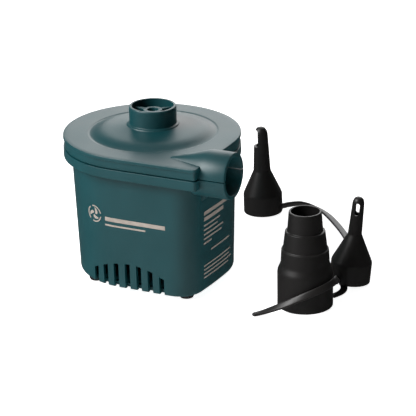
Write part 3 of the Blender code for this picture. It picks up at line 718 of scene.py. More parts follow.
def build_cover(casing):
    """The top cover with its dome, collar, guard and half of the outlet tube."""
    collar = casing.collar_radius / MM
    tube = casing.outlet_radius / MM
    crown = [(collar, COLLAR_TOP, 1.3), (collar, 88.45, 0.35), (14.75, 88.0, 0.3), (14.95, 87.42, 0.3),
             (28.0, 85.75, 4.0), (31.2, 84.9, 1.6), (34.5, 83.4, 1.5), (36.0, 82.95, 0.7),
             (36.6, 82.93, 0.3), (DOME_R, COVER_TOP, 0.4)]
    lip = [station(FLANGE, 3.0, COVER_TOP), station(FLANGE, 0.0, COVER_TOP, 0.7),
           station(FLANGE, 0.0, LIP_BOTTOM + 0.1, 0.35), station(FLANGE, 0.7, LIP_BOTTOM, 0.15),
           station(FLANGE, 0.7, COVER_BOTTOM, 0.2), station(FLANGE, 2.7, COVER_BOTTOM, 0.2),
           station(FLANGE, 2.7, LIP_BOTTOM, 0.6), station(FLANGE, 4.5, LIP_BOTTOM)]
    under = [(38.4, 81.1, 0.5), (35.5, 81.2, 1.0), (31.0, 82.6, 2.0), (27.0, 83.6, 2.0),
             (COLLAR_BORE_R + 1.2, 85.8, 0.6), (COLLAR_BORE_R, 88.0, 0.6), (COLLAR_BORE_R, COLLAR_TOP, 0.5)]
    flat = round_loops([(DOME_R + 0.6, COVER_TOP, 0.0)])
    cover = lofted("cover_shell", round_loops([(COLLAR_BORE_R + 0.4, COLLAR_TOP, 0.0)] + crown) + flat
                   + outline_loops(lip) + round_loops(under), ring=True)
    fairing = pipe("fairing", [(APEX[0], APEX[1], APEX[2], 0.5), (APEX[0] + 1.2, APEX[1], APEX[2], 1.3)]
                   + [(APEX[0] + (FAIRING_END - APEX[0]) * t, APEX[1] + (OUTLET_Y - APEX[1]) * t,
                       APEX[2] + (OUTLET_Z - APEX[2]) * t, 0.7 + (tube - 0.7) * t)
                      for t in (0.2, 0.4, 0.6, 0.8, 0.97)]
                   + [(FAIRING_END + 0.8, OUTLET_Y, OUTLET_Z, tube)] + tube_end(tube))
    chamber = lofted("chamber", [[(x, y, z) for x, y in outline(*inset(FLANGE, 2.5))]
                                 for z in (60.0, LIP_BOTTOM + 0.3)])
    below = soft_box("below_seam", (-60, -60, 50), (80, 60, COVER_BOTTOM))
    combine(fairing, "DIFFERENCE", chamber, below)
    throat = pipe("throat", [(APEX[0] + 4, APEX[1], 79.5, 0.5),
                             (FAIRING_END, OUTLET_Y, OUTLET_Z, OUTLET_BORE_R)] + bore_end())
    combine(cover, "UNION", fairing)
    combine(cover, "DIFFERENCE", throat)
    hub = turned("hub", soften([(5.5, HUB_TOP, 0.4), (5.5, HUB_TOP - 3.5, 0.3), (3.15, HUB_TOP - 3.5, 0.3),
                                (3.15, HUB_TOP, 0.4)], closed=True), ON_INLET, closed=True, steps=64)
    combine(cover, "UNION", hub)
    for degrees in (52, 172, 292):
        spoke = soft_box(f"spoke_{degrees}", (4.6, -1.0, HUB_TOP - 3.0),
                         (COLLAR_BORE_R + 0.6, 1.0, HUB_TOP - 0.2), 0.25,
                         ON_INLET @ Matrix.Rotation(math.radians(degrees), 4, "Z"))
        combine(cover, "UNION", spoke)
    return paint(cover, "casing")


def build_body(casing):
    """The body shell with its flange, half of the outlet tube, panel, posts and vents."""
    tube = casing.outlet_radius / MM
    section = [station(BODY_FOOT, 2.4, BODY_BOTTOM, 0.3), station(BODY_FOOT, 0.0, BODY_BOTTOM, 2.2),
               station(BODY_FOOT, 0.0, FOOT_AT + 1.5), station(BODY_HEAD, 0.0, HEAD_AT, 1.0),
               station(BODY_HEAD, -0.4, FLANGE_BOTTOM, 2.2), station(BODY_HEAD, -1.9, FLANGE_BOTTOM),
               station(FLANGE, 0.9, FLANGE_BOTTOM), station(FLANGE, 0.0, FLANGE_BOTTOM, 0.6),
               station(FLANGE, 0.0, BODY_TOP, 0.25), station(FLANGE, 2.7, BODY_TOP, 0.2),
               station(FLANGE, 2.7, FLANGE_BOTTOM + 2.2, 0.4),
               station(BODY_HEAD, WALL, FLANGE_BOTTOM + 1.8, 0.6),
               station(BODY_FOOT, WALL + 0.4, FOOT_AT), station(BODY_FOOT, WALL + 0.8, BODY_BOTTOM)]
    shell = lofted("pump_body", outline_loops(section, arc=5), ring=True)
    pad = soft_box("pad", (-13.8, 37.4, 15.2), (13.8, 41.4, 54.8), 0.6)
    posts = rods_on_posts("posts", 3.2, (44, 60.0), (6.2, 19))
    combine(shell, "UNION", pad, posts)
    panel = soft_box("panel_face", (-15, PANEL_Y, 15), (15, 60, 55), 1.2)
    pilots = rods_on_posts("pilots", 1.5, (50, 65), (0, 15))
    combine(shell, "DIFFERENCE", panel, pilots)
    lower = pipe("lower_tube", [(45.6, OUTLET_Y, OUTLET_Z, tube)] + tube_end(tube))
    gusset = prism("gusset", [(46, 57.5), (48, 59), (53, 63.6), (46, 66)], -0.8, 0.8, 0.0,
                   Matrix.Translation((0, OUTLET_Y, 0)) @ Matrix.Rotation(math.pi / 2, 4, "X"))
    combine(shell, "UNION", lower, gusset)
    bore = pipe("lower_bore", [(40, OUTLET_Y, OUTLET_Z, OUTLET_BORE_R)] + bore_end())
    above = soft_box("above_seam", (-60, -60, BODY_TOP), (80, 60, 95))
    openings = gathered("openings", [
        soft_box("switch_hole", (-4.5, 30, SWITCH_Z - 6.9), (4.5, 50, SWITCH_Z + 6.9), 0.4),
        soft_box("port_hole", (-5.2, 30, PORT_Z - 2.4), (5.2, 50, PORT_Z + 2.4), 2.0, segments=6),
        rod("lamp_hole", 1.8, 30, 50, AT_LAMP)])
    combine(shell, "DIFFERENCE", bore, above, openings)
    cut_vents(shell, casing)
    return paint(shell, "casing")


def printed(name, shapes):
    """Thin ink laid on a wall.

    Each shape is (point function, one edge, the other edge), and an edge is a row of (across, up) pairs.
    """
    bm = bmesh.new()
    for spot, left, right in shapes:
        rows = []
        for (a, b), (c, d) in zip(left, right):
            rows.append([bm.verts.new(spot(x, z, off)) for x, z, off in
                         ((a, b, INK), (c, d, INK), (c, d, -INK), (a, b, -INK))])
        bm.faces.new(rows[0])
        bm.faces.new(rows[-1])
        for upper, lower in zip(rows, rows[1:]):
            skin(bm, upper, lower)
    return finish_mesh(name, bm)


def bar(spot, left, right, middle, thick, steps=24):
    """A plain bar, level on the wall."""
    line = [left + (right - left) * step / steps for step in range(steps + 1)]
    return (spot, [(x, middle - thick / 2) for x in line], [(x, middle + thick / 2) for x in line])


def fan_mark(at, radius):
    """Three swept blades inside an open ring."""
    shapes = []
    for start in (0, 120, 240):
        edges = ([], [])
        for step in range(13):
            t = step / 12
            reach = radius * (0.14 + 0.60 * t)
            half = radius * 0.24 * math.sin(math.pi * (0.12 + 0.80 * t))
            turn = math.radians(start + 20 + 62 * t)
            along = (math.cos(turn), math.sin(turn))
            for edge, side in zip(edges, (-half, half)):
                edge.append((at[0] + along[0] * reach - along[1] * side,
                             at[1] + along[1] * reach + along[0] * side))
        shapes.append((front_point, *edges))
        rim = [math.radians(start + 12 + 96 * step / 20) for step in range(21)]
        shapes.append((front_point, *([(at[0] + r * math.cos(a), at[1] + r * math.sin(a)) for a in rim]
                                      for r in (radius * 0.86, radius))))
    return shapes


def build_marks():
    """Generic printed marks: a fan sign with two stripes at the front and plain rows on the right side."""
    front = fan_mark((-15.2, 45.4), 5.0) + [bar(front_point, -7.5, 30.3, 44.2, 2.4),
                                            bar(front_point, -7.5, 18.0, 40.6, 1.0)]
    side = [bar(side_point, -29.5, 1.5, 50.0, 2.2), bar(side_point, -29.5, -7.0, 46.4, 2.2)]
    for end, height in ((-11, 42.6), (-14, 39.9), (-7, 37.2), (-9, 34.5), (-21, 31.8)):
        side.append(bar(side_point, -29.5, end, height, 1.0))
    side.append(bar(side_point, -21.0, 1.0, 25.8, 1.0))
    for end, height in ((3, 18.0), (1, 15.6), (4, 13.2), (0, 10.8)):
        side.append(bar(side_point, -29.0, end, height, 0.8))
    for name, shapes in (("front_print", front), ("side_print", side)):
        mount(paint(printed(name, shapes), "print"), "casing", "casing")


# ---- geometry node trees for what repeats


class Recipe(Graph):
    """A geometry node tree with named inputs."""

    def __init__(self, name):
        super().__init__(bpy.data.node_groups.new(name, "GeometryNodeTree"))
        self.tree.interface.new_socket("Geometry", in_out="INPUT", socket_type="NodeSocketGeometry")
        self.tree.interface.new_socket("Geometry", in_out="OUTPUT", socket_type="NodeSocketGeometry")
        self.names = {}
        self.entry = None

    def inputs(self, **kinds):
        for key, kind in kinds.items():
            title = key.replace("_", " ").title()
            made = self.tree.interface.new_socket(title, in_out="INPUT", socket_type=f"NodeSocket{kind}")
            self.names[key] = made.identifier
        self.entry = self.node("NodeGroupInput")

    def given(self, key):
        socket = next(s for s in self.entry.outputs if s.identifier == self.names[key])
        return Term(self, socket)

    def vector(self, x=0.0, y=0.0, z=0.0):
        return self.node("ShaderNodeCombineXYZ", None, {0: x, 1: y, 2: z}).outputs[0]

    def moved(self, geometry, offset=None, turn=None):
        sockets = {"Geometry": geometry}
        if offset is not None:
            sockets["Translation"] = offset
        if turn is not None:
            sockets["Rotation"] = turn
        return self.node("GeometryNodeTransform", None, sockets).outputs[0]

    def join(self, operation, *meshes):
        """An exact Boolean of meshes; DIFFERENCE cuts the later ones out of the first."""
        made = self.node("GeometryNodeMeshBoolean", {"operation": operation, "solver": "EXACT"})
        rest = meshes
        if operation == "DIFFERENCE":
            self.link(meshes[0], made.inputs["Mesh 1"])
            rest = meshes[1:]
        for mesh in rest:
            self.link(mesh, made.inputs["Mesh 2"])
        return made.outputs["Mesh"]

    def spread(self, points, mesh, turn=None):
        """Copies of a mesh on points, as real meshes."""
        sockets = {"Points": points, "Instance": mesh}
        if turn is not None:
            sockets["Rotation"] = turn
        copies = self.node("GeometryNodeInstanceOnPoints", None, sockets).outputs[0]
        return self.node("GeometryNodeRealizeInstances", None, {0: copies}).outputs[0]

    def finish(self, geometry, material):
        real = self.node("GeometryNodeRealizeInstances", None, {0: geometry}).outputs[0]
        coated = self.node("GeometryNodeSetMaterial", None, {"Geometry": real, "Material": material})
        self.node("NodeGroupOutput", None, {0: coated.outputs[0]})

    def apply(self, thing, **values):
        """Run the tree on an object and keep the result as its plain mesh."""
        step = thing.modifiers.new(self.tree.name, "NODES")
        step.node_group = self.tree
        for key, value in values.items():
            step[self.names[key]] = value
        settle(thing)
        shade(thing.data)
        return thing


def slot_comb():
    """Cuts a row of upright slots, open at the bottom, whose tops lie on an arch."""
    made = Recipe("slot_comb")
    made.inputs(count="Int", pitch="Float", width="Float", middle="Float", peak="Float", top="Float",
                arch="Float", near="Float", far="Float", material="Material")
    pitch, middle, top = made.given("pitch"), made.given("middle"), made.given("top")
    near, far = made.given("near"), made.given("far")
    first = middle - pitch * (made.given("count") - 1) * 0.5
    row = made.node("GeometryNodeMeshLine", {"mode": "OFFSET"}, {
        "Count": made.given("count"), "Start Location": made.vector(first, (near + far) * 0.5, 0.0),
        "Offset": made.vector(pitch, 0.0, 0.0)})
    tall = top + 0.004
    bar = made.node("GeometryNodeMeshCube", None, {
        "Size": made.vector(made.given("width"), far - near, tall), "Vertices X": 4, "Vertices Y": 2,
        "Vertices Z": 2})
    lifted = made.moved(bar.outputs[0], made.vector(0.0, 0.0, tall * 0.5 - 0.002))
    slots = made.spread(row.outputs[0], lifted)
    spot = made.node("ShaderNodeSeparateXYZ", None, {0: made.node("GeometryNodeInputPosition").outputs[0]})
    x, y, z = [Term(made, socket) for socket in spot.outputs]
    off = x - made.given("peak")
    arched = made.vector(x, y, top - off * off / (made.given("arch") * 2.0))
    upper = z.combine("GREATER_THAN", 0.004)
    bent = made.node("GeometryNodeSetPosition", None, {
        "Geometry": slots, "Selection": upper, "Position": arched})
    made.finish(made.join("DIFFERENCE", made.entry.outputs[0], bent.outputs[0]), made.given("material"))
    return made


def cut_vents(shell, casing):
    comb = slot_comb()
    for near, far, across, peak in ((-50.0, -20.0, 5.4, 6.0), (20.0, 50.0, 0.0, 0.0)):
        comb.apply(shell, count=casing.vent_count, pitch=casing.vent_pitch, width=casing.vent_width,
                   middle=(across + PUMP_AT.x) * MM, peak=(peak + PUMP_AT.x) * MM, top=casing.vent_top,
                   arch=casing.vent_arch,
                   near=(near + PUMP_AT.y) * MM, far=(far + PUMP_AT.y) * MM, material=FINISHES["casing"])


def pan_screws():
    """Pan-head screws with a cross recess, one on each point of the given mesh."""
    made = Recipe("pan_screws")
    made.inputs(head_radius="Float", head_height="Float", shank_radius="Float", shank_length="Float",
                turn="Vector", material="Material")
    radius, height = made.given("head_radius"), made.given("head_height")
    length_of = made.given("shank_length")
    base = made.node("GeometryNodeMeshCone", None, {
        "Vertices": 40, "Radius Top": radius * 0.93, "Radius Bottom": radius, "Depth": height * 0.55})
    crown = made.node("GeometryNodeMeshCone", None, {
        "Vertices": 40, "Side Segments": 1, "Radius Top": radius * 0.62, "Radius Bottom": radius * 0.93,
        "Depth": height * 0.47})
    shank = made.node("GeometryNodeMeshCylinder", None, {
        "Vertices": 24, "Radius": made.given("shank_radius"), "Depth": length_of})
    head = made.join("UNION", base.outputs[0],
                     made.moved(crown.outputs[0], made.vector(0.0, 0.0, height * 0.53)),
                     made.moved(shank.outputs[0], made.vector(0.0, 0.0, length_of * -0.5 + height * 0.1)))
    blade = made.node("GeometryNodeMeshCube", None, {
        "Size": made.vector(radius * 1.1, radius * 0.24, height)}).outputs[0]
    lifted = made.moved(blade, made.vector(0.0, 0.0, height * 0.95))
    crossed = made.join("UNION", lifted, made.moved(lifted, turn=(0.0, 0.0, math.pi / 2)))
    screw = made.join("DIFFERENCE", head, crossed)
    copies = made.spread(made.entry.outputs[0], screw, made.given("turn").socket)
    made.finish(copies, made.given("material"))
    return made


def points_mesh(name, points):
    """A mesh of loose points in the shared frame."""
    mesh = bpy.data.meshes.new(name)
    mesh.from_pydata([TO_FRAME @ Vector(point) for point in points], [], [])
    made = bpy.data.objects.new(name, mesh)
    bpy.context.scene.collection.objects.link(made)
    return made


def rubber_feet():
    """Round feet with a rounded tread edge, one on each point of the given mesh."""
    made = Recipe("rubber_feet")
    made.inputs(radius="Float", height="Float", material="Material")
    radius, height = made.given("radius"), made.given("height")
    upper = made.node("GeometryNodeMeshCylinder", None, {
        "Vertices": 64, "Radius": radius, "Depth": height * 0.5}).outputs[0]
    middle = made.node("GeometryNodeMeshCone", None, {
        "Vertices": 64, "Radius Top": radius, "Radius Bottom": radius * 0.88,
        "Depth": height * 0.33}).outputs[0]
    tread = made.node("GeometryNodeMeshCone", None, {
        "Vertices": 64, "Radius Top": radius * 0.88, "Radius Bottom": radius * 0.64,
        "Depth": height * 0.17}).outputs[0]
    foot = made.join("UNION", made.moved(upper, made.vector(0.0, 0.0, height * 0.75)),
                     made.moved(middle, made.vector(0.0, 0.0, height * 0.17)), tread)
    made.finish(made.spread(made.entry.outputs[0], foot), made.given("material"))
    return made


def fan_blades():
    """Swept blades round the Z axis, joined to the given disc."""
    made = Recipe("fan_blades")
    made.inputs(count="Int", root_radius="Float", tip_radius="Float", thickness="Float", bottom="Float",
                top="Float", centre="Vector", material="Material")
    root, tip = made.given("root_radius"), made.given("tip_radius")
    bottom, top = made.given("bottom"), made.given("top")
    arc = made.node("GeometryNodeCurveQuadraticBezier", None, {
        "Resolution": 10, "Start": made.vector(root, 0.0, (bottom + top) * 0.5),
        "Middle": made.vector((root + tip) * 0.5, tip * -0.08, (bottom + top) * 0.5),
        "End": made.vector(tip * 0.83, tip * -0.555, (bottom + top) * 0.5)})
    upright = made.node("GeometryNodeSetCurveNormal", {"mode": "Z_UP"}, {"Curve": arc.outputs[0]})
    slab = made.node("GeometryNodeCurvePrimitiveQuadrilateral", None, {
        "Width": made.given("thickness"), "Height": top - bottom})
    blade = made.node("GeometryNodeCurveToMesh", None, {
        "Curve": upright.outputs[0], "Profile Curve": slab.outputs[0], "Fill Caps": True})
    points = made.node("GeometryNodePoints", None, {"Count": made.given("count"),
                                                    "Position": made.given("centre")})
    index = Term(made, made.node("GeometryNodeInputIndex").outputs[0])
    turn = made.vector(0.0, 0.0, index / made.given("count") * (2 * math.pi))
    blades = made.spread(points.outputs[0], blade.outputs[0], turn)
    made.finish(made.join("UNION", made.entry.outputs[0], blades), made.given("material"))
    return made


def build_screws(sizes):
    recipe = pan_screws()
    casing = dict(head_radius=sizes.head_radius, head_height=sizes.head_height,
                  shank_radius=sizes.shank_radius, shank_length=8.4 * MM)
    motor = dict(head_radius=sizes.head_radius * 0.78, head_height=sizes.head_height * 0.75,
                 shank_radius=sizes.shank_radius * 0.7, shank_length=4.4 * MM)
    rows = (("base_screws", [(x, y, 2.3) for x, y in LOWER_POSTS], casing, math.pi,
             [f"base_screw_{k}" for k in (1, 2, 3, 4)]),
            ("floor_screws", [(x, y, 63.1) for x, y in UPPER_POSTS], casing, 0.0,
             [f"floor_screw_{k}" for k in (1, 2, 3, 4)]),
            ("motor_screws", [INLET_AT + Vector((x, 0, 62.8)) for x in (-8, 8)], motor, 0.0,
             ["motor_screw_1", "motor_screw_2"]))
    for name, points, given, turn, nodes in rows:
        made = recipe.apply(points_mesh(name, points), turn=(turn, 0.0, 0.3), material=FINISHES["fasteners"],
                            **given)
        mount(made, "casing", "fasteners", *nodes)


def build_feet(sizes):
    made = rubber_feet().apply(points_mesh("rubber_feet", [(x, y, 0.225) for x, y in FEET_AT]),
                               radius=sizes.foot_radius, height=sizes.foot_height,
                               material=FINISHES["feet"])
    mount(made, "casing", "feet", "foot_front_left", "foot_front_right", "foot_back_left",
          "foot_back_right")


def build_impeller(sizes):
    disc = turned("fan_impeller", soften([
        (0, 75.5, 0), (3.2, 75.5, 0.6), (4.6, 73.5, 1.0), (5.2, 67.4, 1.2), (9.0, 66.6, 1.2),
        (29.0, 66.2, 0.3), (29.0, 65.0, 0.3), (3.8, 65.0, 0.2), (3.8, 64.2, 0.2), (1.45, 64.2, 0.1),
        (1.45, 73.4, 0), (0, 73.4, 0)]), ON_INLET)
    paint(disc, "inner_plastic")
    made = fan_blades().apply(disc, count=sizes.blade_count, root_radius=sizes.root_radius,
                              tip_radius=sizes.tip_radius, thickness=sizes.thickness,
                              bottom=BLADE_BOTTOM * MM, top=BLADE_TOP * MM,
                              centre=(PUMP_AT + INLET_AT) * MM, material=FINISHES["inner_plastic"])
    mount(made, "rotor", "inner_plastic", "impeller")


# ---- back panel


def build_switch():
    """The rocker switch's bezel and its rocker."""
    housing = soft_box("switch_bezel", (-5.4, PANEL_Y + 0.3, SWITCH_Z - 7.8),
                       (5.4, PANEL_Y + 1.6, SWITCH_Z + 7.8), 0.55)
    stem = soft_box("switch_stem", (-4.2, 29.5, SWITCH_Z - 6.6), (4.2, PANEL_Y + 0.8, SWITCH_Z + 6.6), 0.3)
    well = soft_box("switch_well", (-3.4, 34.5, SWITCH_Z - 5.8), (3.4, 50, SWITCH_Z + 5.8), 0.25)
    combine(housing, "UNION", stem)
    combine(housing, "DIFFERENCE", well)
    mount(paint(housing, "black_plastic"), "casing", "black_plastic", "switch_housing")
    side = soften([(-5.2, -0.6, 0.3), (-2.0, -2.6, 0.8), (2.0, -2.6, 0.8), (5.2, -0.6, 0.3), (5.3, 2.6, 0.35),
                   (0, 1.6, 2.5), (-5.3, 2.6, 0.35)], closed=True)
    stand = Matrix(((0, 0, 1, 0), (0, 1, 0, 0), (-1, 0, 0, 0), (0, 0, 0, 1)))
    place = (Matrix.Translation((0, PANEL_Y - 0.2, SWITCH_Z)) @ Matrix.Rotation(math.radians(-10), 4, "X")
             @ stand)
    rocker = prism("rocker", side, -3.1, 3.1, 0.0, place)
    mount(paint(rocker, "black_plastic"), "rocker", "black_plastic", "switch_rocker")


def build_port():
    """The charging port's shell and tongue, and the lamp above it."""
    shell = soft_box("port_shell", (-4.9, 32.5, PORT_Z - 2.1), (4.9, 40.3, PORT_Z + 2.1), 1.9, segments=6)
    mouth = soft_box("port_mouth", (-4.2, 33.4, PORT_Z - 1.45), (4.2, 50, PORT_Z + 1.45), 1.3, segments=6)
    combine(shell, "DIFFERENCE", mouth)
    mount(paint(shell, "port_steel"), "casing", "port_steel", "charging_port")
    tongue = soft_box("port_blade", (-3.2, 33.7, PORT_Z - 0.35), (3.2, 39.4, PORT_Z + 0.35), 0.12)
    mount(paint(tongue, "black_plastic"), "casing", "black_plastic", "port_tongue")
    lens = turned("lamp_lens", soften([(0, 41.1, 0), (0.9, 41.0, 0.4), (1.5, 40.3, 0.3), (1.5, 33.0, 0.1),
                                       (0, 33.0, 0)]),
                  AT_LAMP, steps=48)
    mount(paint(lens, "lamp"), "casing", "lamp", "charge_lamp")


# ---- nozzles and straps


def stood(at, radius, lean, towards):
    """Where a nozzle of that foot radius stands when it leans."""
    axis = Vector((-math.sin(towards), math.cos(towards), 0))
    return (Matrix.Translation((*at, radius * math.sin(lean) + 0.3)) @ Matrix.Rotation(lean, 4, axis))


def build_nozzles():
    stepped = turned("stepped_nozzle", soften([
        (9.1, 55.6, 0.35), (9.95, 44.4, 0.3), (11.15, 44.15, 0.35), (12.35, 33.9, 0.3), (13.2, 33.5, 0.25),
        (13.7, 25.0, 1.2), (15.5, 21.0, 1.4), (15.6, 0.0, 0.5), (13.6, 0.0, 0.4), (13.5, 19.0, 1.0),
        (12.2, 24.0, 1.0), (11.8, 32.0, 0.3), (11.0, 33.4, 0.3), (9.8, 42.4, 0.3), (8.5, 43.8, 0.3),
        (7.9, 55.6, 0.35)], closed=True), Matrix.Translation((*STEPPED_AT, 0)), closed=True, steps=128)
    mount(paint(stepped, "nozzles"), "nozzle_set", "nozzles", "nozzle_stepped")
    stand = stood(MEDIUM_AT, MEDIUM_FOOT_R, MEDIUM_LEAN, MEDIUM_LEAN_TOWARDS)
    medium = turned("medium_nozzle", soften([
        (0, 55.0, 0), (2.3, 54.6, 0.9), (3.7, 52.7, 1.2), (4.2, 50.6, 1.0), (5.3, 26.9, 0.5),
        (MEDIUM_FOOT_R, 12.0, 0.8), (MEDIUM_FOOT_R, 0.0, 0.5), (10.3, 0.0, 0.4), (10.3, 11.4, 1.0),
        (3.9, 26.5, 1.0), (2.9, 50.1, 0.5), (1.8, 52.5, 0.5), (0, 53.1, 0)]), stand)
    scoop = soft_box("scoop", (-9, -5, 42.8), (-2.0, 5, 53.3), 0.8,
                     stand @ Matrix.Rotation(math.radians(22), 4, "Z"))
    combine(medium, "DIFFERENCE", scoop)
    mount(paint(medium, "nozzles"), "nozzle_set", "nozzles", "nozzle_medium")
    stand = stood(SMALL_AT, SMALL_FOOT_R, SMALL_LEAN, SMALL_LEAN_TOWARDS)
    small = turned("small_nozzle", soften([
        (0, 50.5, 0), (1.9, 50.1, 0.8), (3.05, 48.6, 1.0), (3.4, 46.8, 1.0), (4.0, 28.2, 0.5),
        (SMALL_FOOT_R, 12.0, 0.8), (SMALL_FOOT_R, 0.0, 0.5), (10.1, 0.0, 0.4), (10.1, 11.4, 1.0),
        (2.8, 27.6, 1.0), (2.2, 46.8, 0.5), (1.2, 48.8, 0.4), (0, 49.4, 0)]), stand)
    eye = soft_box("eye", (-6, -1.3, 40), (6, 1.3, 47.2), 1.2,
                   stand @ Matrix.Rotation(math.radians(-77), 4, "Z"), segments=5)
    outlet = rod("strap_hole", 2.1, 7.0, 14.0, Matrix.Translation((*SMALL_AT, 3.9))
                 @ Matrix.Rotation(math.radians(252), 4, "Z") @ Matrix.Rotation(math.pi / 2, 4, "Y"))
    combine(small, "DIFFERENCE", eye, outlet)
    mount(paint(small, "nozzles"), "nozzle_set", "nozzles", "nozzle_small")


LONG_ROUTE = [(36.9, 101.4, 6.0), (39.7, 109.6, 4.8), (44.0, 117.2, 3.2), (51.7, 118.2, 2.1),
              (61.7, 112.6, 1.1), (73.2, 100.6, 0.9), (86.6, 83.6, 0.9), (97.0, 66.4, 0.9),
              (102.2, 51.8, 0.9), (103.4, 41.6, 0.9), (104.1, 33.4, 0.9), (106.4, 25.6, 0.9),
              (110.2, 18.6, 0.9), (113.8, 13.2, 0.9), (115.8, 7.8, 0.9), (115.6, 2.4, 0.9),
              (113.4, -3.0, 0.9)]
SHORT_ROUTE = [(110.0, 9.1, 4.0), (112.0, 5.6, 6.6), (114.9, 0.0, 10.2), (117.4, -6.0, 13.4),
               (119.6, -12.0, 15.6), (120.2, -18.0, 16.6), (118.6, -24.3, 16.0), (114.9, -29.3, 14.6),
               (109.6, -32.9, 12.2), (104.0, -34.9, 9.4), (99.0, -36.2, 6.8), (94.0, -37.8, 4.5),
               (89.2, -40.0, 2.6), (85.7, -41.9, 1.5), (82.4, -44.2, 0.9)]
LONG_ROLL = [70, 60, 40, 20, 5, 0, 0, 0, 0, 0, 0, 0, 0, 0, 0, 0, 0]
SHORT_ROLL = [25, 35, 45, 50, 55, 60, 60, 60, 60, 58, 50, 38, 22, 8, 0]


def smooth_route(points, spacing):
    """Points at an even spacing along a smooth curve through the given points."""
    knots = [Vector(point) for point in points]
    knots = [2 * knots[0] - knots[1]] + knots + [2 * knots[-1] - knots[-2]]
    fine = []
    for a, b, c, d in zip(knots, knots[1:], knots[2:], knots[3:]):
        for step in range(24):
            t = step / 24
            fine.append(0.5 * (2 * b + (c - a) * t + (2 * a - 5 * b + 4 * c - d) * t ** 2
                               + (3 * b - a - 3 * c + d) * t ** 3))
    fine.append(knots[-2])
    total = sum((b - a).length for a, b in zip(fine, fine[1:]))
    count = max(2, round(total / spacing))
    route = [fine[0]]
    walked = 0.0
    for a, b in zip(fine, fine[1:]):
        gap = (b - a).length
        while len(route) < count and walked + gap >= total * len(route) / count:
            route.append(a.lerp(b, (total * len(route) / count - walked) / gap))
        walked += gap
    route.append(fine[-1])
    return route


def strap_section(width, thick, steps=20):
    """A rounded-rectangle section, as (across, through) pairs."""
    pairs = []
    for step in range(steps):
        angle = 2 * math.pi * (step + 0.5) / steps
        across, through = math.cos(angle), math.sin(angle)
        pairs.append((math.copysign(abs(across) ** 0.45, across) * width / 2,
                      math.copysign(abs(through) ** 0.6, through) * thick / 2))
    return pairs


def strap(name, points, rolls, sizes, tail=0.0):
    """A flat strap along a route; the last stretch, tail long, is ridged and ends in a rounded tip."""
    route = smooth_route(points, 0.4)
    total = sum((b - a).length for a, b in zip(route, route[1:]))
    pitch = sizes.ridge_pitch / MM
    loops = []
    walked = 0.0
    for index, spot in enumerate(route):
        before = route[max(0, index - 1)]
        after = route[min(len(route) - 1, index + 1)]
        along = (after - before).normalized()
        if index:
            walked += (spot - route[index - 1]).length
        share = walked / total * (len(rolls) - 1)
        low = min(int(share), len(rolls) - 2)
        roll = math.radians(rolls[low] + (rolls[low + 1] - rolls[low]) * (share - low))
        side = along.cross(Vector((0, 0, 1))).normalized()
        lift = side.cross(along)
        across = side * math.cos(roll) + lift * math.sin(roll)
        through = lift * math.cos(roll) - side * math.sin(roll)
        width, thick = sizes.strap_width / MM, sizes.strap_thickness / MM
        left = total - walked
        if left < tail:
            blend = min(1.0, (tail - left) / 4)
            wave = math.sin(2 * math.pi * left / pitch)
            thick += blend * 0.16 * max(-0.6, min(0.6, wave * 1.6))
            width *= 1 - 0.16 * (tail - left) / tail
        if left < 1.8 and tail:
            width *= max(0.08, math.sqrt(max(0.0, 1 - ((1.8 - left) / 1.8) ** 2)))
            thick *= max(0.30, math.sqrt(max(0.0, 1 - ((1.8 - left) / 1.9) ** 2)))
        loops.append([tuple(spot + across * u + through * v) for u, v in strap_section(width, thick)])
    made = lofted(name, loops)
    path = [tuple(TO_FRAME @ spot) for spot in route[::3] + [route[-1]]]
    return paint(made, "tethers"), path, total * MM


def build_straps(sizes):
    made, path, total = strap("long_strap", LONG_ROUTE, LONG_ROLL, sizes)
    mount(made, "nozzle_set", "tethers", "tether_long")
    made, path, total = strap("short_strap", SHORT_ROUTE, SHORT_ROLL, sizes, tail=13.0)
    mount(made, "nozzle_set", "tethers", "tether_short")


# ---- studio


